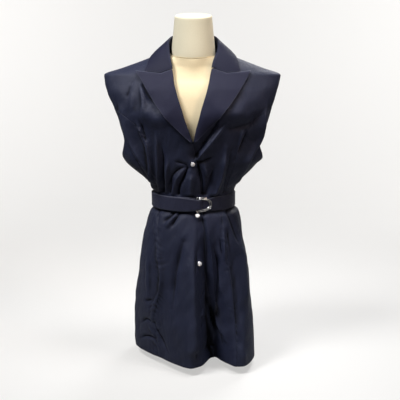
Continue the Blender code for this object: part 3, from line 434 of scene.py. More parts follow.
def fold_lift(x, y, height):
    """How far the folds lift the surface."""
    lift = np.zeros(x.shape)
    for way, rise, widths, ends, path in FOLD_ROWS:
        reach = FOLD_REACH * max(widths)
        low, high = path.min(0) - reach, path.max(0) + reach
        near = (x > low[0]) & (x < high[0]) & (height > low[1]) & (height < high[1]) & (y * way > 0)
        if not near.any():
            continue
        away, along = path_reach(x[near], height[near], path)
        width = np.where(away < 0, widths[0], widths[1])
        start = ends[0] + (1 - ends[0]) * ease(along / FOLD_FADES)
        end = ends[1] + (1 - ends[1]) * ease((1 - along) / FOLD_FADES)
        power = np.interp(min(widths), FOLD_WIDTHS, FOLD_POWERS)
        lift[near] += FOLD_STRENGTH * rise * start * end * np.exp(-(np.abs(away) / width) ** power)
    return lift


def ripple(at, pitch):
    """An uneven wave between about -1 and 1."""
    waves = at * 2 * math.pi / pitch
    wander = 2.3 * np.sin(waves / 4.3 + 0.8)
    swell = 0.55 + 0.45 * np.sin(waves / 2.7 + 2.1)
    small = 0.5 * np.sin(waves / 0.41 + 1.3 * wander)
    return (np.sin(waves + wander) * swell + small * (1 - swell)) * 0.85


def pucker_lift(x, y, height):
    """Short folds that the sewn seams draw up across themselves."""
    lift = np.zeros(x.shape)
    for which, side in ((1, -1), (2, 1)):
        away = x - read(PRINCESS[side], height)
        near = (y < 0) & (np.abs(away) < PUCKER_ENDS * PUCKER_REACH) & (height < SEAM_TOP)
        if not near.any():
            continue
        away, level = away[near], height[near]
        strength = read(PUCKERS, level, which) * ease((SEAM_TOP - level) / PUCKER_FADES)
        lean = PUCKER_SLANTS[side] * np.sin(level * 37.0 + np.sign(away) * 0.9)
        wave = ripple(level + lean * away + PUCKER_SHIFT * np.tanh(away / PUCKER_TURN), PUCKER_PITCH)
        reach = PUCKER_REACH * (0.75 + 0.45 * np.sin(level * 61.0 + 2.0 * np.sign(away)))
        lift[near] += strength * wave * np.exp(-np.abs(away) / reach)
        depth, width = SEAM_DIP
        lift[near] -= depth * strength * np.exp(-(away / (width * PUCKER_REACH)) ** 2)
    return lift


def sway_lift(turn, height):
    """The slight unevenness of hanging cloth, which runs out at the centre back seam."""
    along = np.radians(turn) * 0.15
    return ease((180 - np.abs(turn)) / SWAY_STOPS) * sum(
        size * np.sin(across * along * 2 + up * height * 2 + phase) for size, across, up, phase in SWAYS)


def snap_calm_and_dent(x, y, height):
    """Folds run out before the flat patch that a snap holds, and each snap draws the cloth in."""
    calm, dent = np.ones(x.shape), np.zeros(x.shape)
    for _, cap_x, cap_height, _ in SNAPS:
        reach = np.where(y < 0, np.hypot(x - cap_x, height - cap_height), 1.0)
        calm *= 1 - np.exp(-(reach / SNAP_FLAT) ** 3)
        dent -= SNAP_DENT * np.exp(-(reach / SNAP_DENT_REACH) ** 2)
    return calm, dent


def along_section(turn, height):
    """The directions that a section runs in, seen from above."""
    before, after = section(turn - SECTION_TURN, height), section(turn + SECTION_TURN, height)
    return unit(np.stack([after[0] - before[0], after[1] - before[1]], -1))


def folded(turn, height):
    """Points of the waistcoat's surface with its folds, lifted level."""
    turn, height = np.broadcast_arrays(np.asarray(turn, float), np.asarray(height, float))
    x, y = section(turn, height)
    along = along_section(turn, height)
    calm, dent = snap_calm_and_dent(x, y, height)
    lift = fold_lift(x, y, height) * calm + pucker_lift(x, y, height)
    deepest = read(DEEPEST, height)
    lift = np.where(lift < 0, -deepest * np.tanh(-lift / deepest), lift) + dent
    pressed = ease((np.abs(height - BELT_HEIGHT) - BELT_WIDTH / 2) / PRESS_REACH)
    lift = (lift * ease(np.abs(y) / SIDE_REACH) + sway_lift(turn, height)) * pressed
    return np.stack([x + lift * along[..., 1], y - lift * along[..., 0], height], -1)


def cloth(turn, height, lift=0.0):
    """Points on the surface, moved out by lift, and the directions that face out there."""
    round_it = folded(turn + CLOTH_TURN, height) - folded(turn - CLOTH_TURN, height)
    up_it = folded(turn, height + CLOTH_UP) - folded(turn, height - CLOTH_UP)
    outward = unit(np.cross(round_it, up_it))
    return folded(turn, height) + outward * np.asarray(lift)[..., None], outward


EDGE_HIGHLIGHT_REACH = 0.0013           # how far in from its edges a sheet gets a painted highlight
EDGE_STEP = 0.0011          # the outermost strip of a panel, which rounds its edge
SHORTEST_ROW = 0.4          # share of a step that the row under the top strip has at least
SECTION_POINTS = 160        # points in which a section is measured


def spread(first, last, heights, count):
    """Turns at even steps of length along each section, with a narrow step at both ends."""
    rows = []
    for start, end, height in zip(first, last, heights):
        turns = np.linspace(start, end, SECTION_POINTS)
        x, y = section(turns, height)
        length = np.concatenate(([0.0], np.cumsum(np.hypot(np.diff(x), np.diff(y)))))
        strip = min(EDGE_STEP, length[-1] / 4)
        steps = np.linspace(strip, length[-1] - strip, count - 2)
        rows.append(np.interp(np.concatenate(([0.0], steps, length[-1:])), length, turns))
    return np.array(rows)


def rows_between(low, high, step):
    """Heights from the top down on one ladder that all panels share, with narrow end steps."""
    rungs = low + EDGE_STEP + step * np.arange(int((high - low) / step) + 1)
    inner = rungs[rungs < high - EDGE_STEP - SHORTEST_ROW * step]
    return np.concatenate(([high, high - EDGE_STEP], inner[::-1], [low]))


# ---------------------------------------------------------------- meshes
ROUNDING = 0.45             # thickness that is left right at an edge
HOLLOW_ROUNDS = 10          # how far round a point the cloth counts as being round it
HOLLOW_DEPTH = 0.0013       # the depth of a full crease
CAP_ANGLE = math.radians(50)


def put(name, data):
    thing = bpy.data.objects.new(name, data)
    bpy.context.scene.collection.objects.link(thing)
    return thing


def new_piece(name, verts, faces, look):
    """A smooth piece and its mesh."""
    mesh = bpy.data.meshes.new(name)
    mesh.from_pydata(verts.tolist(), [], faces)
    mesh.shade_smooth()
    mesh.materials.append(look)
    return put(name, mesh), mesh


def blurred(grid, rounds):
    """The grid with each value drawn towards its neighbours, its border held by itself."""
    for _ in range(rounds):
        padded = np.pad(grid, 1, mode="edge")
        sides = padded[:-2, 1:-1] + padded[2:, 1:-1] + padded[1:-1, :-2] + padded[1:-1, 2:]
        grid = 0.5 * grid + 0.125 * sides
    return grid


def hollows(points, outward):
    """How deep each point lies below the cloth round it: above 0 in creases, below on crests."""
    around = np.stack([blurred(points[..., axis], HOLLOW_ROUNDS) for axis in range(3)], -1)
    return ((around - points) * outward).sum(-1) / HOLLOW_DEPTH


def sheet_faces(rows, columns):
    """The outer face, the inner face and the rim of a grid, as corners."""
    ids = np.arange(rows * columns).reshape(rows, columns)
    a, b, c, d = ids[:-1, :-1], ids[1:, :-1], ids[1:, 1:], ids[:-1, 1:]
    rim = np.concatenate([ids[:, 0], ids[-1, 1:], ids[-2::-1, -1], ids[0, -2:0:-1]])
    after = np.roll(rim, -1)
    return np.concatenate([np.stack([a, b, c, d], -1).reshape(-1, 4),
                           np.stack([a, d, c, b], -1).reshape(-1, 4) + ids.size,
                           np.stack([after, rim, rim + ids.size, after + ids.size], -1)])


def sheet_mesh(name, middle, outward, thickness, look):
    """A closed thin sheet with soft edges round a grid whose rows run down.

    Its UV map is in metres along the cloth. edge_near grows towards its edges, and hollow is
    how deep the cloth lies in a fold."""
    rows, columns = middle.shape[:2]
    half = np.full((rows, columns, 1), thickness / 2 * ROUNDING)
    half[1:-1, 1:-1] = thickness / 2
    verts = np.concatenate([(middle + outward * half * way).reshape(-1, 3) for way in (1, -1)])
    faces = sheet_faces(rows, columns)
    piece, mesh = new_piece(name, verts, faces.tolist(), look)
    across, down = (np.cumsum(np.linalg.norm(np.diff(middle, axis=i, prepend=first), axis=-1), axis=i)
                    for i, first in ((1, middle[:, :1]), (0, middle[:1])))
    grain = slice(columns // 2, columns // 2 + 1)
    uv = np.stack([across - across[:, grain], -down[:, grain] + 0 * across], -1).reshape(-1, 2)
    layer = mesh.uv_layers.new(name="cloth")
    layer.data.foreach_set("uv", np.tile(uv, (2, 1))[faces.ravel()].ravel())
    # edge_near masks the navy cloth's painted edge highlight, and hollow its painted crease shade and crest
    # highlight
    from_edge = np.minimum(np.minimum(across, across[:, -1:] - across), np.minimum(down, down[-1:] - down))
    for label, values in (("edge_near", np.exp(-(from_edge / EDGE_HIGHLIGHT_REACH) ** 2)),
                          ("hollow", hollows(middle, outward))):
        attribute = mesh.attributes.new(label, "FLOAT", "POINT")
        attribute.data.foreach_set("value", np.tile(values.ravel(), 2))
    return piece


def loft(name, loops, look):
    """A closed body through loops of points from the bottom up, capped at both ends."""
    ring = np.arange(len(loops[0]))
    top = (len(loops) - 1) * len(ring)
    corners = np.stack([ring, np.roll(ring, -1), np.roll(ring, -1) + len(ring), ring + len(ring)], -1)
    faces = [ring[::-1].tolist(), (top + ring).tolist()]
    for low in range(0, top, len(ring)):
        faces += (low + corners).tolist()
    piece, mesh = new_piece(name, np.reshape(loops, (-1, 3)), faces, look)
    mesh.set_sharp_from_angle(angle=CAP_ANGLE)
    return piece


def evaluated(name, source, look):
    """The piece that an object's curve or modifiers make, as a plain mesh."""
    depsgraph = bpy.context.evaluated_depsgraph_get()
    mesh = bpy.data.meshes.new_from_object(source.evaluated_get(depsgraph))
    bpy.data.objects.remove(source)
    mesh.materials.clear()
    mesh.materials.append(look)
    mesh.shade_smooth()
    return put(name, mesh)


def closed_wire(name, points, radius, resolution, look):
    """A round wire bent through points."""
    curve = bpy.data.curves.new(name, "CURVE")
    curve.dimensions = "3D"
    curve.bevel_depth = radius
    curve.bevel_resolution = resolution
    spline = curve.splines.new("POLY")
    spline.points.add(len(points) - 1)
    spline.points.foreach_set("co", np.c_[points, np.ones(len(points))].ravel())
    spline.use_cyclic_u = True
    return evaluated(name, put(name + "_line", curve), look)


# ---------------------------------------------------------------- shader groups
class Sockets:
    """Adds nodes to a tree and links them, so that a group reads top to bottom."""

    def __init__(self, tree):
        self.tree = tree

    def set(self, socket, value):
        if isinstance(value, bpy.types.NodeSocket):
            self.tree.links.new(value, socket)
        else:
            socket.default_value = (*value, 1.0) if socket.type == "RGBA" else value

    def node(self, kind, values=None, **settings):
        made = self.tree.nodes.new(kind)
        for name, value in settings.items():
            setattr(made, name, value)
        for key, value in (values or {}).items():
            self.set(made.inputs[key], value)
        return made

    def maths(self, operation, a, b=0.0):
        return self.node("ShaderNodeMath", {0: a, 1: b}, operation=operation).outputs[0]

    def plus(self, a, b):
        return self.maths("ADD", a, b)

    def times(self, a, b):
        return self.maths("MULTIPLY", a, b)

    def clamp(self, a):
        return self.node("ShaderNodeClamp", {0: a}).outputs[0]

    def mix(self, share, a, b):
        return self.node("ShaderNodeMix", {0: share, 6: a, 7: b}, data_type="RGBA").outputs[2]

    def apart(self, vector):
        return self.node("ShaderNodeSeparateXYZ", {0: vector}).outputs

    def place(self):
        return self.node("ShaderNodeTexCoord").outputs["Object"]

    def attribute(self, name):
        return self.node("ShaderNodeAttribute", attribute_name=name).outputs["Fac"]

    def noise(self, place, scale, detail, distortion=0.0):
        return self.node("ShaderNodeTexNoise", {"Vector": place, "Scale": scale, "Detail": detail,
                                                "Distortion": distortion}).outputs[0]

    def bump(self, height, strength, distance, **below):
        return self.node("ShaderNodeBump", {"Height": height, "Strength": strength,
                                            "Distance": distance, **below}).outputs[0]

    def use(self, tree, **values):
        return self.node("ShaderNodeGroup", values, node_tree=tree).outputs


def new_group(name, inputs, outputs):
    """A shader node group of numbers; an input without a value takes a vector."""
    tree = bpy.data.node_groups.new(name, "ShaderNodeTree")
    for label, value in inputs.items():
        kind = "NodeSocketVector" if value is None else "NodeSocketFloat"
        socket = tree.interface.new_socket(label, in_out="INPUT", socket_type=kind)
        if value is not None:
            socket.default_value = value
    for label in outputs:
        tree.interface.new_socket(label, in_out="OUTPUT", socket_type="NodeSocketFloat")
    s = Sockets(tree)
    return s, s.node("NodeGroupInput").outputs, s.node("NodeGroupOutput").inputs


TWILL_SLOPE, WEFT_THREADS = 0.62, 1.9    # of its ribs, and crossing threads to a rib


def make_twill_group():
    """Diagonal ribs of a fine twill, each rib broken by the threads that cross it."""
    s, enter, leave = new_group("fine twill", {"Cloth": None, "Rib Pitch": 0.0007, "Slub": 0.3},
                                ("Height", "Thread"))
    u, v, _ = s.apart(enter["Cloth"])
    turns = s.maths("DIVIDE", 2 * math.pi, enter["Rib Pitch"])
    shift = s.times(s.plus(s.noise(enter["Cloth"], 160.0, 2.0), -0.5), enter["Slub"])
    rib = s.maths("SINE", s.plus(s.times(s.plus(u, s.times(v, TWILL_SLOPE)), turns), shift))
    weft = s.maths("SINE", s.times(v, s.times(turns, WEFT_THREADS)))
    s.set(leave["Height"], s.plus(s.plus(s.times(rib, 0.4), s.times(weft, 0.13)), 0.5))
    s.set(leave["Thread"], s.noise(enter["Cloth"], 420.0, 3.0))
    return s.tree


def make_plain_weave_group():
    """Over and under threads of the form's cotton cover."""
    s, enter, leave = new_group("plain weave", {"Cloth": None, "Thread Pitch": 0.0009}, ("Height", "Thread"))
    u, v, _ = s.apart(enter["Cloth"])
    turns = s.maths("DIVIDE", math.pi, enter["Thread Pitch"])
    warp, weft = (s.maths("SINE", s.times(way, turns)) for way in (u, v))
    slub = s.noise(enter["Cloth"], 240.0, 3.0)
    crossing = s.plus(s.times(s.times(warp, weft), 0.4), 0.5)
    s.set(leave["Height"], s.plus(crossing, s.times(slub, 0.3)))
    s.set(leave["Thread"], slub)
    return s.tree


def make_tone_group():
    """Large soft patches where a surface is a little lighter or darker."""
    s, enter, leave = new_group("uneven tone", {"Place": None, "Size": 0.12, "Amount": 0.2}, ("Factor",))
    patches = s.noise(enter["Place"], s.maths("DIVIDE", 1.0, enter["Size"]), 2.0)
    s.set(leave["Factor"], s.plus(s.times(s.plus(patches, -0.5), enter["Amount"]), 0.5))
    return s.tree


def make_lint_group():
    """A few bright specks of lint and fibre ends."""
    s, enter, leave = new_group("lint", {"Place": None, "Spacing": 0.02, "Size": 0.05}, ("Mask",))
    scale = s.maths("DIVIDE", 1.0, enter["Spacing"])
    cells = s.node("ShaderNodeTexVoronoi", {"Vector": enter["Place"], "Scale": scale})
    speck = s.maths("SUBTRACT", 1.0, s.maths("DIVIDE", cells.outputs["Distance"], enter["Size"]))
    s.set(leave["Mask"], s.maths("MAXIMUM", speck, 0.0))
    return s.tree


def make_wrinkle_group():
    """Faint wrinkles: long ones that hang with the cloth and a finer crumple."""
    s, enter, leave = new_group("faint wrinkles", {"Place": None, "Long": 0.03, "Short": 0.009}, ("Height",))
    hung = s.node("ShaderNodeMapping", {"Vector": enter["Place"], "Scale": (1.0, 1.0, 0.38)}).outputs[0]
    broad = s.noise(hung, s.maths("DIVIDE", 1.0, enter["Long"]), 2.0, 0.8)
    fine = s.noise(enter["Place"], s.maths("DIVIDE", 1.0, enter["Short"]), 3.0)
    ridge = s.maths("ABSOLUTE", s.plus(broad, -0.5))
    s.set(leave["Height"], s.plus(s.times(ridge, 2.2), s.times(fine, 0.22)))
    return s.tree


TWILL = make_twill_group()
WRINKLES = make_wrinkle_group()
PLAIN_WEAVE = make_plain_weave_group()
TONE = make_tone_group()
LINT = make_lint_group()

# ---------------------------------------------------------------- materials
# What lies over the cloth's own colour: the share it takes at most, and its colour. The edge, crease and
# crest colours are painted light: a highlight along the edges, shade in the creases and a highlight on the
# crests. The lint is the cloth's own.
# painted highlight along a sheet's edges, where a rolled edge would catch the light
EDGE_PAINTED_HIGHLIGHT = (0.11, 0.12, 0.16)
LINT_SPECK = (0.5, (0.30, 0.32, 0.36))
# painted shade in the creases, where the folds shade themselves
CREASE_PAINTED_SHADE = (0.90, (0.0020, 0.0024, 0.0050))
# painted highlight on the crests of the folds
CREST_PAINTED_HIGHLIGHT = (0.16, (0.050, 0.060, 0.100))


def new_material(name, **values):
    """A material, its nodes and its shader's sockets, some of them set by their names."""
    made = bpy.data.materials.new(name)
    made.use_nodes = True
    s, shader = Sockets(made.node_tree), made.node_tree.nodes["Principled BSDF"].inputs
    for key, value in values.items():
        s.set(shader[key.replace("_", " ")], value)
    return made, s, shader


def finish(s, shader, colour, roughness, normal):
    for key, value in (("Base Color", colour), ("Roughness", roughness), ("Normal", normal)):
        s.set(shader[key], value)


def navy_cloth(name, deep, lit, bump=0.40, wrinkle=0.7, rim=0.04, shine=0.25):
    """Smooth navy twill with a low sheen, a painted highlight along its edges, painted shade in its creases
    and a painted highlight on its crests.
    """
    made, s, shader = new_material(name, Sheen_Weight=0.02, Sheen_Roughness=0.45,
                                   Sheen_Tint=(0.55, 0.60, 0.80), Specular_IOR_Level=shine)
    place = s.place()
    twill = s.use(TWILL, Cloth=s.node("ShaderNodeUVMap", uv_map="cloth").outputs[0])
    tone = s.use(TONE, Place=place, Size=0.09, Amount=0.9)["Factor"]
    lint = s.use(LINT, Place=place, Spacing=0.026, Size=0.014)["Mask"]
    # hollow masks painted shade in the creases and a painted highlight on the crests; the creases are also
    # made rougher
    hollow = s.attribute("hollow")
    crease, crest = s.clamp(hollow), s.clamp(s.times(hollow, -1.0))
    share = s.plus(s.times(twill["Height"], 0.35), s.times(twill["Thread"], 0.3))
    colour = s.mix(s.clamp(s.plus(share, s.plus(tone, -0.35))), deep, lit)
    # edge_near paints the highlight along the edges, at the share rim
    for mask, (most, over) in ((s.attribute("edge_near"), (rim, EDGE_PAINTED_HIGHLIGHT)), (lint, LINT_SPECK),
                               (crease, CREASE_PAINTED_SHADE), (crest, CREST_PAINTED_HIGHLIGHT)):
        colour = s.mix(s.times(mask, most), colour, over)
    rough = s.plus(s.plus(0.49, s.times(twill["Thread"], 0.18)), s.times(crease, 0.40))
    soft = s.bump(s.use(WRINKLES, Place=place)["Height"], wrinkle, 0.0018)
    finish(s, shader, colour, rough, s.bump(twill["Height"], bump, 0.0003, Normal=soft))
    return made


def cream_cotton(name, deep, lit):
    """The form's cover: matt cream cotton jersey."""
    made, s, shader = new_material(name, Sheen_Weight=0.15, Specular_IOR_Level=0.2)
    place = s.place()
    x, y, z = s.apart(place)
    turned_round = s.times(s.maths("ARCTAN2", x, y), 0.058)
    flat = s.node("ShaderNodeCombineXYZ", {0: turned_round, 1: z}).outputs[0]
    weave = s.use(PLAIN_WEAVE, Cloth=flat)
    tone = s.use(TONE, Place=place, Size=0.07, Amount=0.8)["Factor"]
    share = s.plus(s.times(weave["Thread"], 0.5), s.plus(tone, -0.3))
    finish(s, shader, s.mix(s.clamp(share), deep, lit), 0.85, s.bump(weave["Height"], 0.25, 0.0003))
    return made


def polished_metal(name):
    """Silver plated wire with hairline scratches and faint dulling."""
    made, s, shader = new_material(name, Metallic=1.0)
    place = s.place()
    tone = s.use(TONE, Place=place, Size=0.004, Amount=1.0)["Factor"]
    scratches = s.noise(place, 900.0, 4.0)
    finish(s, shader, s.mix(tone, (0.62, 0.62, 0.63), (0.86, 0.86, 0.87)),
           s.plus(0.14, s.times(scratches, 0.22)), s.bump(scratches, 0.08, 0.0002))
    return made


def pearl_cap(name):
    """Pearly plastic: pale, with soft cloudy bands of pink and blue."""
    made, s, shader = new_material(name, Coat_Weight=0.6, Coat_Roughness=0.08)
    bands = s.noise(s.place(), 260.0, 2.0, 1.4)
    finish(s, shader, s.mix(bands, (0.74, 0.72, 0.76), (0.90, 0.91, 0.94)), 0.24,
           s.bump(bands, 0.05, 0.0003))
    return made


def satin_enamel(name):
    """The stand's warm grey paint, with a fine orange peel and rubbed places."""
    made, s, shader = new_material(name)
    place = s.place()
    tone = s.use(TONE, Place=place, Size=0.03, Amount=0.7)["Factor"]
    finish(s, shader, s.mix(tone, (0.52, 0.50, 0.46), (0.66, 0.64, 0.60)),
           s.plus(0.30, s.times(tone, 0.2)), s.bump(s.noise(place, 700.0, 2.0), 0.12, 0.0002))
    return made


NAVY = navy_cloth("navy_twill", (0.0072, 0.0098, 0.0255), (0.0155, 0.0196, 0.0480))
BELT_NAVY = navy_cloth("belt_twill", (0.0140, 0.0158, 0.0340), (0.0230, 0.0255, 0.0540), 0.40, 0.4, 0.3)
# The lapels' cloth is a paler copy of the navy with less shine: painted light, for lapels that face up into
# the lamps
LAPEL_NAVY_PAINTED_LIT = navy_cloth("lapel_twill_painted_lit", (0.0110, 0.0120, 0.0290), (0.0185, 0.0195, 0.0415),
                        0.35, 0.12, 0.40, 0.11)
COLLAR_NAVY = navy_cloth("collar_twill", (0.0085, 0.0095, 0.0230), (0.0140, 0.0150, 0.0330),
                         0.35, 0.12, 0.20, 0.09)
THREAD = navy_cloth("navy_thread", (0.014, 0.016, 0.030), (0.030, 0.034, 0.058), 0.0, 0.0, 0.0)
CREAM = cream_cotton("cream_cover", (0.66, 0.555, 0.355), (0.77, 0.660, 0.450))
NECK_CREAM = cream_cotton("neck_cover", (0.62, 0.575, 0.43), (0.72, 0.67, 0.52))
METAL = polished_metal("silver_wire")
PEARL = pearl_cap("pearl_cap")
ENAMEL = satin_enamel("stand_enamel")

# ---------------------------------------------------------------- the waistcoat
ROW_STEP = 0.0026 / FINE
FRONT_COLUMNS = int(78 * FINE)
LAP_COLUMNS = int(14 * FINE)
SIDE_COLUMNS = int(34 * FINE)
BACK_COLUMNS = int(72 * FINE)
LAP_SHADOW = 0.0025
LAP_RISE = 0.016
LAP_ABOVE = 0.030


def lap_depth(x, height):
    """The front that lies underneath is let in by a layer, up to just past the free edge."""
    beyond = x - read(LAP_EDGE, np.minimum(height, BREAK_HEIGHT)) - LAP_SHADOW
    above = height - BREAK_HEIGHT
    return -LAYER * (1 - ease(beyond / LAP_RISE)) * (1 - ease(above / LAP_ABOVE))


def seam_turns(heights, side):
    """The princess seam's turns, never beyond the armhole."""
    seam = front_turn(read(PRINCESS[side], heights), heights)
    return side * np.minimum(np.abs(seam), np.abs(armhole_turn(heights, side)))


def front_turns(heights, side):
    """Turns of a centre front's points, from its inner edge to its seam or armhole."""
    outer = np.where(heights <= SEAM_TOP, seam_turns(heights, side), armhole_turn(heights, side))
    inner = front_turn(read(ROLL[side], heights), heights)
    free_edge = read(LAP_EDGE, heights)
    overlap = LAP * ease((BREAK_HEIGHT - heights) / LAP_NARROWS) + SMALLEST_LAP
    start = front_turn(np.where(side > 0, free_edge - overlap, free_edge), heights)
    inner = np.where(heights >= BREAK_HEIGHT, inner, start)
    return spread(inner, outer, heights, FRONT_COLUMNS + (LAP_COLUMNS if side > 0 else 0))


def side_front_turns(heights, side):
    return spread(seam_turns(heights, side), armhole_turn(heights, side), heights, SIDE_COLUMNS)


def back_turns(heights, side):
    middle = np.full(len(heights), side * 180.0)
    return spread(armhole_turn(heights, side, behind=True), middle, heights, BACK_COLUMNS)


def make_panel(name, side, top, turns_of):
    """A panel from the hem up, between the turns of its two edges."""
    heights = rows_between(HEM_HEIGHT, top, ROW_STEP)
    turns = turns_of(heights, side)[:, ::side]
    levels = heights[:, None] + np.zeros(turns.shape)
    underneath = turns_of is front_turns and side > 0
    lift = lap_depth(section(turns, levels)[0], levels) if underneath else 0.0
    return sheet_mesh(name, *cloth(turns, levels, lift), CLOTH, NAVY)


GORGE_GAP = 0.0004
GORGE_RISE = 0.0022
LAPEL_LIFT = 0.0060         # the outer edge stands off the front by this much more
# Round the roll line: how far in from it, and how high over the front
LAPEL_ROLL = mm(
    (0.4, -0.8), (1.8, -0.4), (2.6, 1), (2.4, 2.4), (1.2, 3.4),
)
LAPEL_START = 0.02
LAPEL_FEET = (0.001, 0.004)     # how far over the break its roll and its edge end
LAPEL_CROWDS = 0.9          # rows lie closer near the foot the more this is below 1
LAPEL_BELLY = 0.0016        # how far its middle swells
LAPEL_HELD = 0.55           # share of its lift at the very top
LAPEL_RIM = 0.988
LAPEL_INNER = int(18 * FINE)
LAPEL_OUTER = int(34 * FINE)
LAPEL_ROWS = int(96 * FINE)
CALM_ROUNDS = (60, 8)       # how often the folds below are smoothed, before and after clearing them


def grid_outward(points):
    """The directions that face out of a grid whose rows run down and columns to the right."""
    return unit(np.cross(np.gradient(points, axis=0), np.gradient(points, axis=1)))


def make_lapel(name, side):
    """The front folded back at the roll line, from the gorge down to the break."""
    gorge = GORGE[side]
    down = np.linspace(0, 1, LAPEL_ROWS) ** LAPEL_CROWDS
    roll_top, notch_top = gorge[0][1] - GORGE_GAP, gorge[1][1] - GORGE_GAP
    roll_z = roll_top + (BREAK_HEIGHT + LAPEL_FEET[0] - roll_top) * down
    edge_z = LAPEL_TIP_HEIGHT + (BREAK_HEIGHT + LAPEL_FEET[1] - LAPEL_TIP_HEIGHT) * down
    roll_x, edge_x = read(ROLL[side], roll_z), read(LAPEL_EDGE[side], edge_z)
    notch_at = (gorge[1][0] - roll_x[0]) / (edge_x[0] - roll_x[0])
    grid, lift = [], []
    for in_from_roll, rise in LAPEL_ROLL:
        grid.append(np.stack([roll_x - side * in_from_roll * (1 - 0.3 * down), roll_z], -1))
        lift.append(np.full(LAPEL_ROWS, rise))
    inner = np.linspace(LAPEL_START, notch_at, LAPEL_INNER)
    rest = np.linspace(notch_at, 1, LAPEL_OUTER)[1:]
    for across in (*inner, *rest[:-1], LAPEL_RIM, 1.0):
        x = roll_x + (edge_x - roll_x) * across
        z = roll_z + (edge_z - roll_z) * across
        top = np.interp(across, (0, notch_at, 1), (roll_top, notch_top, LAPEL_TIP_HEIGHT))
        grid.append(np.stack([x, z + (top - z[0]) * (1 - down) ** 3], -1))
        belly = LAPEL_BELLY * math.sin(math.pi * across ** 0.6) * np.sin(math.pi * down) ** 0.7
        held = LAPEL_HELD + (1 - LAPEL_HELD) * ease(down * 3)
        lift.append(LAYER + GORGE_GAP + LAPEL_LIFT * across ** 0.8 * held + belly)
    grid, lift = np.array(grid)[::side].transpose(1, 0, 2), np.array(lift)[::side].T
    points = calm_cloth(front_turn(grid[..., 0], grid[..., 1]), grid[..., 1], lift)
    return sheet_mesh(name, points, grid_outward(points), CLOTH, LAPEL_NAVY_PAINTED_LIT)


def calm_cloth(turn, height, lift):
    """Points over the surface that bridge its folds and stay clear of them."""
    def plain(round_it, up):
        return np.stack([*section(turn + round_it, height + up), height + up + 0 * turn], -1)

    smooth_point = plain(0, 0)
    round_it = plain(CALM_TURN, 0) - plain(-CALM_TURN, 0)
    outward = unit(np.cross(round_it, plain(0, CALM_UP) - plain(0, -CALM_UP)))
    real_off = ((folded(turn, height) - smooth_point) * outward).sum(-1)
    calm = blurred(real_off, CALM_ROUNDS[0])
    calm = calm + blurred(np.maximum(real_off - calm, 0.0), CALM_ROUNDS[1])
    return smooth_point + outward * (np.maximum(calm, real_off) + lift)[..., None]


# The collar from the middle of the back to its end, towards +X: seam and roll as x, y,
# height; the free edge behind at a turn and a height, and in front at x and a height; and
# how closely the fall follows the gorge.
COLLAR = (
    ((0.000, 0.0645, 0.8455), (0.0000, 0.0680, 0.885), (180, 0.820), 0.0),
    ((0.026, 0.0590, 0.8455), (0.0250, 0.0620, 0.885), (163, 0.821), 0.0),
    ((0.049, 0.0430, 0.8455), (0.0470, 0.0440, 0.884), (143, 0.824), 0.0),
    ((0.064, 0.0210, 0.8455), (0.0600, 0.0180, 0.880), (120, 0.828), 0.0),
    ((0.069, 0.0020, 0.8455), (0.0640, -0.009, 0.868), (93, 0.831), 0.0),
    ((0.0665, -0.017, 0.838), (0.0640, -0.027, 0.849), (0.114, 0.820), 0.0),
    ((0.0620, -0.038, 0.822), (0.0605, -0.046, 0.829), (0.119, 0.807), 0.10),
    ((0.0590, -0.050, 0.809), (0.0575, -0.058, 0.812), (0.123, 0.799), 0.50),
    ((0.0575, -0.057, 0.7985), (0.0560, -0.064, 0.7985), (0.127, 0.7900), 1.0),
)
GORGE_SHARES = (0.0, 0.38, 1.0)
COLLAR_LIFT = 0.0060
COLLAR_INSET = 0.0026
ROLL_BULGE = 0.0014
COLLAR_THROW = 0.0036
COLLAR_CROWN = 0.0050
COLLAR_CLEAR = 0.0020
COLLAR_FRONT = 3            # rows of the table at each end that lie on the front
COLLAR_STRIP = 0.06
STAND_SHARE = 0.92          # share of the stand that is straight
FALL_START = 0.05
STAND_POINTS = int(12 * FINE)
FALL_POINTS = int(30 * FINE)
COLLAR_STEPS = int(10 * FINE)       # steps from one row of the table to the next


def neckline_point(height, side):
    """The front's neck edge, moved in towards the neck by the collar's own wall."""
    x = float(read(ROLL[side], height))
    _, y = section(front_turn(x, height), height)
    return np.array([x - side * COLLAR_INSET, float(y), height])


def collar_foot(across, height, side):
    turn = side * across if across >= 1 else front_turn(side * across, height)
    return cloth(np.array(float(turn)), np.array(float(height)), COLLAR_LIFT)[0]


def gorge_points(gorge, shares):
    """The collar's end, laid on the front just above the lapel."""
    x, height = (np.interp(shares, GORGE_SHARES, gorge[:, i]) for i in range(2))
    height = height + GORGE_GAP
    return cloth(front_turn(x, height), height, np.full(len(x), LAYER + COLLAR_CLEAR))[0]


def collar_line(row, side):
    """One line of the collar, up the stand, over the roll and down the fall."""
    seam, roll, place, follows = row
    gorge = GORGE[side]
    seam, roll = np.array(seam) * (side, 1, 1), np.array(roll) * (side, 1, 1)
    if seam[2] < NECKLINE_HEIGHT:
        down = (gorge[0][1] + GORGE_RISE - seam[2]) * follows
        moved = neckline_point(seam[2] + down, side) - seam
        seam, roll = seam + moved, roll + moved * (1, 1, 0) + (0, 0, down)
    foot = collar_foot(*place, side)
    out = unit((foot - roll) * (1, 1, 0))
    stand = seam + (roll - seam) * np.linspace(0, STAND_SHARE, STAND_POINTS)[:, None]
    top = (roll + out * ROLL_BULGE + (0, 0, ROLL_BULGE * 0.8))[None]
    shares = np.linspace(FALL_START, 1, FALL_POINTS)
    fall = roll + (foot - roll) * shares[:, None] + out * COLLAR_THROW * (1 - shares)[:, None]
    fall[:, 2] += COLLAR_CROWN * np.sin(math.pi * shares)
    fall += (gorge_points(gorge, shares) - fall) * follows
    return np.concatenate([stand, top, fall])


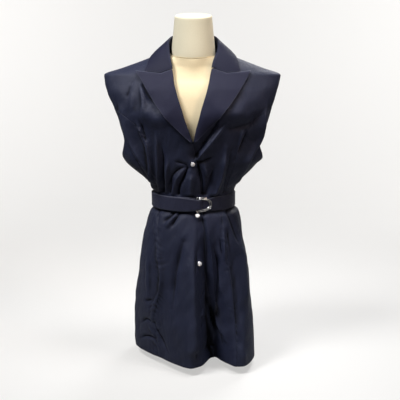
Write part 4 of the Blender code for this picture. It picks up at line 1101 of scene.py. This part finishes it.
def make_collar():
    """Stand and fall in one sheet, bent over at the roll line."""
    control = [collar_line(row, -1) for row in COLLAR[:0:-1]] + [collar_line(row, 1) for row in COLLAR]
    last = len(control) - 1
    inner = np.linspace(0, last, last * COLLAR_STEPS + 1)[1:-1]
    fine = np.concatenate(([0, COLLAR_STRIP], inner, [last - COLLAR_STRIP, last]))
    points = np.stack([[smooth(np.arange(last + 1.0), line[:, axis], fine) for axis in range(3)]
                       for line in np.array(control).transpose(1, 0, 2)]).transpose(2, 0, 1)
    fall = slice(STAND_POINTS + 1, None)
    in_front = (fine < COLLAR_FRONT) | (fine > last - COLLAR_FRONT)
    x, y, z = points[in_front, fall].transpose(2, 0, 1)
    clear, _ = cloth(front_turn(x, z), z, np.full(x.shape, LAYER + COLLAR_CLEAR))
    points[in_front, fall, 1] = np.minimum(y, clear[..., 1])
    return sheet_mesh("collar_cloth", points, grid_outward(points), CLOTH, COLLAR_NAVY)


# ---------------------------------------------------------------- belt and rings
# The strap along its travel round the waist, in degrees: how far off it lies, half its width
STRAP = (
    (0.0, 0.0029, 0.0165), (8.0, 0.0029, 0.0185), (330.0, 0.0029, 0.0185), (340.0, 0.0029, 0.0150),
    (349.5, 0.0034, 0.0128), (354.0, 0.0092, 0.0128), (366.0, 0.0094, 0.0165), (382.0, 0.0066, 0.0185),
    (468.0, 0.0062, 0.0185),
)
STRAP_START = 3.0
STRAP_STRETCHES = ((0, 322, 250), (323, 392, 110), (394, 468, 60))
STRAP_ACROSS = (1.0, 0.955, 0.84, 0.66, 0.44, 0.22, 0.0, -0.22, -0.44, -0.66, -0.84, -0.955, -1.0)
# Slight rucks along the strap and the sway of its height and edges: size, and pitch in metres
# or degrees
WAIST = 0.72
STRAP_RUCK, STRAP_SWAY, STRAP_EDGE = (0.00035, 0.031), (0.0004, 31), (0.0002, 17)
# The rings: x of the straight bar, reach, half height
RINGS = (("ring_outer", 0.0085, 0.0370, 0.0190), ("ring_inner", 0.0130, 0.0285, 0.0150))
RING_TUBE = 0.00115
RING_OFFSET = 0.0064
RING_POINTS = 40
STITCH_INSET = 0.0035
STITCH_OFF = 0.00005


def waist_point(turn, height, offset):
    """A point off the pressed waist, level with it."""
    x, y = section(turn, BELT_HEIGHT)
    along = along_section(turn, BELT_HEIGHT)
    return np.stack([x + along[..., 1] * offset, y - along[..., 0] * offset, height + 0 * x], -1)


def belt_grid(across):
    """Points of the strap along its travel, for each share of its half width."""
    travel = np.concatenate([np.linspace(a, b, int(count * FINE)) for a, b, count in STRAP_STRETCHES])
    offset, half = read(STRAP, travel), read(STRAP, travel, 2)
    ruck = STRAP_RUCK[0] * ripple(travel / 360 * WAIST, STRAP_RUCK[1])
    sway, wave = (size * np.sin(travel / pitch) for size, pitch in (STRAP_SWAY, STRAP_EDGE))
    return np.stack([waist_point(STRAP_START - travel, BELT_HEIGHT + level * half + sway,
                                 offset + ruck * (1 - level * level) + level * wave)
                     for level in across])[:, ::-1]


def make_belt():
    grid = belt_grid(STRAP_ACROSS)
    outward = grid_outward(grid) * (1, 1, 0.3)
    return sheet_mesh("belt_cloth", grid, unit(outward), BELT_THICKNESS, BELT_NAVY)


def make_ring(name, bar_x, reach, half_height):
    """A D of round wire lying on the belt, its straight bar under the strap."""
    path = [(bar_x, half_height * t) for t in np.linspace(0.8, -0.8, 9)]
    for angle in math.pi * (np.arange(RING_POINTS) / (RING_POINTS - 1) - 0.5):
        squared = abs(math.sin(angle)) ** 0.8 * math.copysign(1, math.sin(angle))
        path.append((bar_x + reach * max(math.cos(angle), 0.0) ** 0.9, half_height * squared))
    points = [waist_point(front_turn(x, BELT_HEIGHT), BELT_HEIGHT + z, RING_OFFSET) for x, z in path]
    return closed_wire(name + "_wire", points, RING_TUBE, 5, METAL)


# ---------------------------------------------------------------- snap caps
# The metal rim and the pearly cap set in it: radius, height
CAP_PROFILE = mm(
    (3, 0), (5.8, 0), (6.4, 0.5), (6.6, 1.3), (6.2, 2.1), (5.5, 2.5), (5.1, 2.3),
)
PEARL_PROFILE = mm(
    (5.2, 1.8), (5.2, 2.4), (4.7, 2.9), (3.6, 3.35), (2, 3.6), (0.6, 3.7),
)
CAP_POINTS = 40


def make_snap_part(name, profile, look, x, height, off):
    """A round part of a snap, facing out of the cloth."""
    place, outward = cloth(front_turn(x, height), np.array(height), off)
    spin = np.array(Vector((0, 0, 1)).rotation_difference(Vector(outward)).to_matrix())
    angles = np.linspace(0, 2 * math.pi, CAP_POINTS, endpoint=False)
    ring = np.stack([np.cos(angles), np.sin(angles), 0 * angles], -1)
    return loft(name, [(ring * radius + (0, 0, level)) @ spin.T + place for radius, level in profile], look)


# ---------------------------------------------------------------- the dress form
FORM_POINTS = 96
WELT_POINTS = 144
TILT_FROM, TILT_OVER = 0.80, 0.026      # the top of the body tilts towards the neck seam
FORM_LEVELS = np.concatenate([[0.2302, 0.232, 0.236], np.linspace(0.242, 0.755, 60),
                              np.linspace(0.762, 0.826, 22)])
NECK_STEPS = np.concatenate([[0.0, 0.006, 0.012], np.linspace(0.05, 0.94, 24), np.linspace(0.955, 1, 8)])


def tilted(heights, turn):
    ahead = (1 + np.cos(np.radians(turn))) / 2
    return heights[1] + (heights[0] - heights[1]) * ahead


def form_outline(turns, height):
    half, front, back = (read(FORM, height, i) for i in (1, 2, 3))
    return outline(turns, half, half, front, back, FORM_SQUARENESS)


def make_form():
    turns = np.linspace(0, 360, FORM_POINTS, endpoint=False)
    loops, neck = [], []
    for z in FORM_LEVELS:
        x, y = form_outline(turns, z)
        y = y - (y < 0) * read(THROAT, z) * np.exp(-(x / THROAT_WIDTH) ** 2)
        rise = max((z - TILT_FROM) / TILT_OVER, 0.0)
        loops.append(np.stack([x, y, z + rise * (tilted(NECK_SEAM, turns) - NECK_SEAM[0])], -1))
    low, high = tilted(NECK_SEAM, turns) + SEAM_GAP, tilted(NECK_TOP, turns)
    for step in NECK_STEPS:
        x, y = read(NECK_PROFILE, step) * np.array([np.sin(np.radians(turns)), -np.cos(np.radians(turns))])
        neck.append(np.stack([x, y, low + (high - low) * step], -1))
    return loft("form_body_cover", loops, CREAM), loft("form_neck_cover", neck, NECK_CREAM)


def make_neck_seam():
    """The welt that closes the seam between the form's neck and its body."""
    turns = np.linspace(0, 360, WELT_POINTS, endpoint=False)
    x, y = form_outline(turns, FORM[-1][0])
    ring = np.stack([x, y, tilted(NECK_SEAM, turns) + SEAM_GAP / 2], -1)
    ring += unit(ring * (1, 1, 0)) * WELT_RADIUS * 0.1
    return closed_wire("neck_seam_welt", ring, WELT_RADIUS, 3, CREAM)


# ---------------------------------------------------------------- stitches
STITCH_SIDES = 6


def make_stitch_tree():
    """Thread laid along a line: one stitch at each step."""
    tree = bpy.data.node_groups.new("stitch row", "GeometryNodeTree")
    for label, kind, value in (("Geometry", "Geometry", None), ("Pitch", "Float", 0.0028),
                               ("Stitch Length", "Float", 0.0021), ("Thread", "Float", 0.00022),
                               ("Material", "Material", None)):
        socket = tree.interface.new_socket(label, in_out="INPUT", socket_type="NodeSocket" + kind)
        if value is not None:
            socket.default_value = value
    tree.interface.new_socket("Geometry", in_out="OUTPUT", socket_type="NodeSocketGeometry")
    s = Sockets(tree)
    enter = s.node("NodeGroupInput").outputs
    line = s.node("GeometryNodeMeshToCurve", {0: enter["Geometry"]}).outputs[0]
    steps = s.node("GeometryNodeResampleCurve", {"Curve": line, "Length": enter["Pitch"]}, mode="LENGTH")
    spots = s.node("GeometryNodeCurveToPoints", {"Curve": steps.outputs[0]}, mode="EVALUATED").outputs
    stitch = s.node("GeometryNodeMeshCylinder", {"Vertices": STITCH_SIDES, "Side Segments": 3,
                                                 "Radius": enter["Thread"],
                                                 "Depth": enter["Stitch Length"]}).outputs["Mesh"]
    row = s.node("GeometryNodeInstanceOnPoints", {"Points": spots["Points"], "Instance": stitch,
                                                  "Rotation": spots["Rotation"]}).outputs[0]
    real = s.node("GeometryNodeRealizeInstances", {0: row}).outputs[0]
    look = s.node("GeometryNodeSetMaterial", {"Geometry": real, "Material": enter["Material"]})
    s.set(s.node("NodeGroupOutput").inputs[0], look.outputs[0])
    return tree


STITCH_TREE = make_stitch_tree()


def stitch_rows(name, lines, sizes):
    """Rows of stitches along lists of points, as one plain mesh."""
    count = len(lines[0])
    edges = [(start + i, start + i + 1) for start in range(0, len(lines) * count, count)
             for i in range(count - 1)]
    mesh = bpy.data.meshes.new(name + "_path")
    mesh.from_pydata(np.concatenate(lines).tolist(), edges, [])
    source = put(name + "_path", mesh)
    rows = source.modifiers.new("stitches", "NODES")
    rows.node_group = STITCH_TREE
    values = {"Material": THREAD, **sizes}
    for item in STITCH_TREE.interface.items_tree:
        if item.in_out == "INPUT" and item.name in values:
            rows[item.identifier] = values[item.name]
    return evaluated(name, source, THREAD)


def make_belt_stitches():
    """A row of stitches inside each edge of the belt, on its outer face."""
    inset = 1 - STITCH_INSET / (BELT_WIDTH / 2)
    lines = []
    for level in (inset, -inset):
        strip = belt_grid((level + 0.02, level, level - 0.02))
        lines.append(strip[1] + grid_outward(strip)[1] * (BELT_THICKNESS / 2 + STITCH_OFF))
    return stitch_rows("belt_stitches", lines, {"Pitch": 0.0029, "Stitch Length": 0.0021, "Thread": 0.00026})


# ---------------------------------------------------------------- stage, lights and camera
FLOOR_GLOW = 0.52           # how much paler the floor is seen than it is lit
FLOOR_REACH = 7.0
FLOOR_COLOUR = (0.30, 0.298, 0.293)
COVE_STEPS = 16
COVE = (2.2, 1.2)           # where the floor starts to curve up, and how wide its curve is
WALL = (3.4, 5.0)
BEAM = math.radians(56)     # a grid in front of each softbox keeps its light off the near floor
WARM_BEAM = math.radians(28)
OPEN_BEAM = math.pi
ROOM_LIGHT = 0.075          # the room is dim round the lamps, and its far walls are pale
ROOM_SEEN = 0.92
ROOM_WHITE = (1.0, 0.99, 0.975)
LAMP_WHITE, COOL_WHITE, WARM_WHITE = (1.0, 0.99, 0.98), (0.99, 0.99, 1.0), (1.0, 0.80, 0.64)
# Soft lights: place, what they are aimed at, size, power, colour, how wide their light spreads
LIGHTS = (
    ("softbox", (-1.25, -1.10, 2.85), (0.0, -0.05, 0.60), 1.0, 10.3, LAMP_WHITE, BEAM),
    ("top_fill", (0.60, -0.35, 3.1), (0.12, -0.03, 0.62), 0.9, 5.0, COOL_WHITE, BEAM),
    ("rear_softbox", (0.9, 2.0, 2.2), (0.0, 0.10, 0.45), 1.2, 4.5, COOL_WHITE, BEAM),
    ("warm_fill", (1.7, -1.3, 2.0), (0.08, -0.05, 0.84), 0.8, 0.9, WARM_WHITE, WARM_BEAM),
    ("backdrop_light", (-1.9, 1.5, 1.9), (-1.1, 3.4, 1.1), 1.2, 60, LAMP_WHITE, OPEN_BEAM),
    ("backdrop_light", (1.9, 1.5, 1.9), (1.1, 3.4, 1.1), 1.2, 60, LAMP_WHITE, OPEN_BEAM),
)


def seen_strength(s, seen_more, lit=0.0):
    """A strength that is higher where the camera sees it than where it lights."""
    seen = s.node("ShaderNodeLightPath").outputs["Is Camera Ray"]
    return s.plus(lit, s.times(seen, seen_more))


def make_stage():
    look, s, shader = new_material("pale_floor", Base_Color=FLOOR_COLOUR, Roughness=0.7,
                                   Emission_Color=ROOM_WHITE)
    s.set(shader["Emission Strength"], seen_strength(s, FLOOR_GLOW))
    start, curve = COVE
    steps = [(-FLOOR_REACH, 0.0)] + [(start + curve * math.sin(a), curve - curve * math.cos(a))
                                     for a in np.linspace(0, math.pi / 2, COVE_STEPS)] + [WALL]
    verts = np.array([(x, y, z) for y, z in steps for x in (-FLOOR_REACH, FLOOR_REACH)])
    faces = [(2 * i, 2 * i + 1, 2 * i + 3, 2 * i + 2) for i in range(len(steps) - 1)]
    new_piece("floor", verts, faces, look)[0]


def make_lights():
    for name, place, aim, size, power, colour, beam in LIGHTS:
        lamp = bpy.data.lights.new(name, "AREA")
        lamp.shape = "DISK"
        lamp.size, lamp.energy, lamp.color, lamp.spread = size, power, colour, beam
        holder = put(name, lamp)
        holder.location = place
        holder.rotation_euler = (Vector(aim) - Vector(place)).to_track_quat("-Z", "Y").to_euler()
    world = bpy.data.worlds.new("studio")
    world.use_nodes = True
    s, background = Sockets(world.node_tree), world.node_tree.nodes["Background"].inputs
    s.set(background[0], ROOM_WHITE)
    s.set(background[1], seen_strength(s, ROOM_SEEN - ROOM_LIGHT, ROOM_LIGHT))
    bpy.context.scene.world = world


def make_camera():
    lens = bpy.data.cameras.new("photo_camera")
    lens.sensor_width = SENSOR
    lens.lens = LENS_PIXELS / PHOTO_WIDTH * SENSOR
    camera = put("photo_camera", lens)
    camera.location = CAMERA_PLACE
    camera.rotation_euler = (math.radians(90) - CAMERA_DOWN, 0.0, 0.0)
    bpy.context.scene.camera = camera


# ---------------------------------------------------------------- putting it together
# The panels: how high they reach and the turns of their points
PANELS = (("front", FRONT_TOP, front_turns), ("side_front", SEAM_TOP, side_front_turns),
          ("back", NECKLINE_HEIGHT, back_turns))
SIDES = ((-1, "_right"), (1, "_left"))


def dress(piece, slot, *nodes):
    """Each piece stays on the one body and shows in place of its nodes; its slot is not used."""
    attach(piece, "root")
    if nodes:
        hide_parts(*nodes)
    return piece


def dress_cloth(piece, node):
    dress(piece, "cloth", node)


def dress_the_form():
    for label, top, turns_of in PANELS:
        for side, end in SIDES:
            piece = make_panel(label + end + "_cloth", side, top, turns_of)
            dress_cloth(piece, label + end)
    for side, end in SIDES:
        piece = make_lapel("lapel" + end + "_cloth", side)
        dress_cloth(piece, "lapel" + end)
    dress_cloth(make_collar(), "collar")
    belt = dress(make_belt(), "belt_cloth", "belt")
    stitches = dress(make_belt_stitches(), "belt_cloth")


def add_hardware():
    for name, *sizes in RINGS:
        dress(make_ring(name, *sizes), "metal", name)
    for name, *place in SNAPS:
        dress(make_snap_part(name + "_rim", CAP_PROFILE, METAL, *place), "metal", name)
        dress(make_snap_part(name + "_pearl", PEARL_PROFILE, PEARL, *place), "pearl", name)


def add_form():
    for piece, node in zip(make_form(), ("form_body", "form_neck")):
        dress(piece, "form_cover", node)
    dress(make_neck_seam(), "form_cover")
    for node in ("stand_pole", "stand_base"):
        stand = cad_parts[node]
        stand.data.materials.clear()
        stand.data.materials.append(ENAMEL)


bpy.context.scene.view_settings.view_transform = "Standard"
make_camera()
make_stage()
make_lights()
dress_the_form()
add_hardware()
add_form()
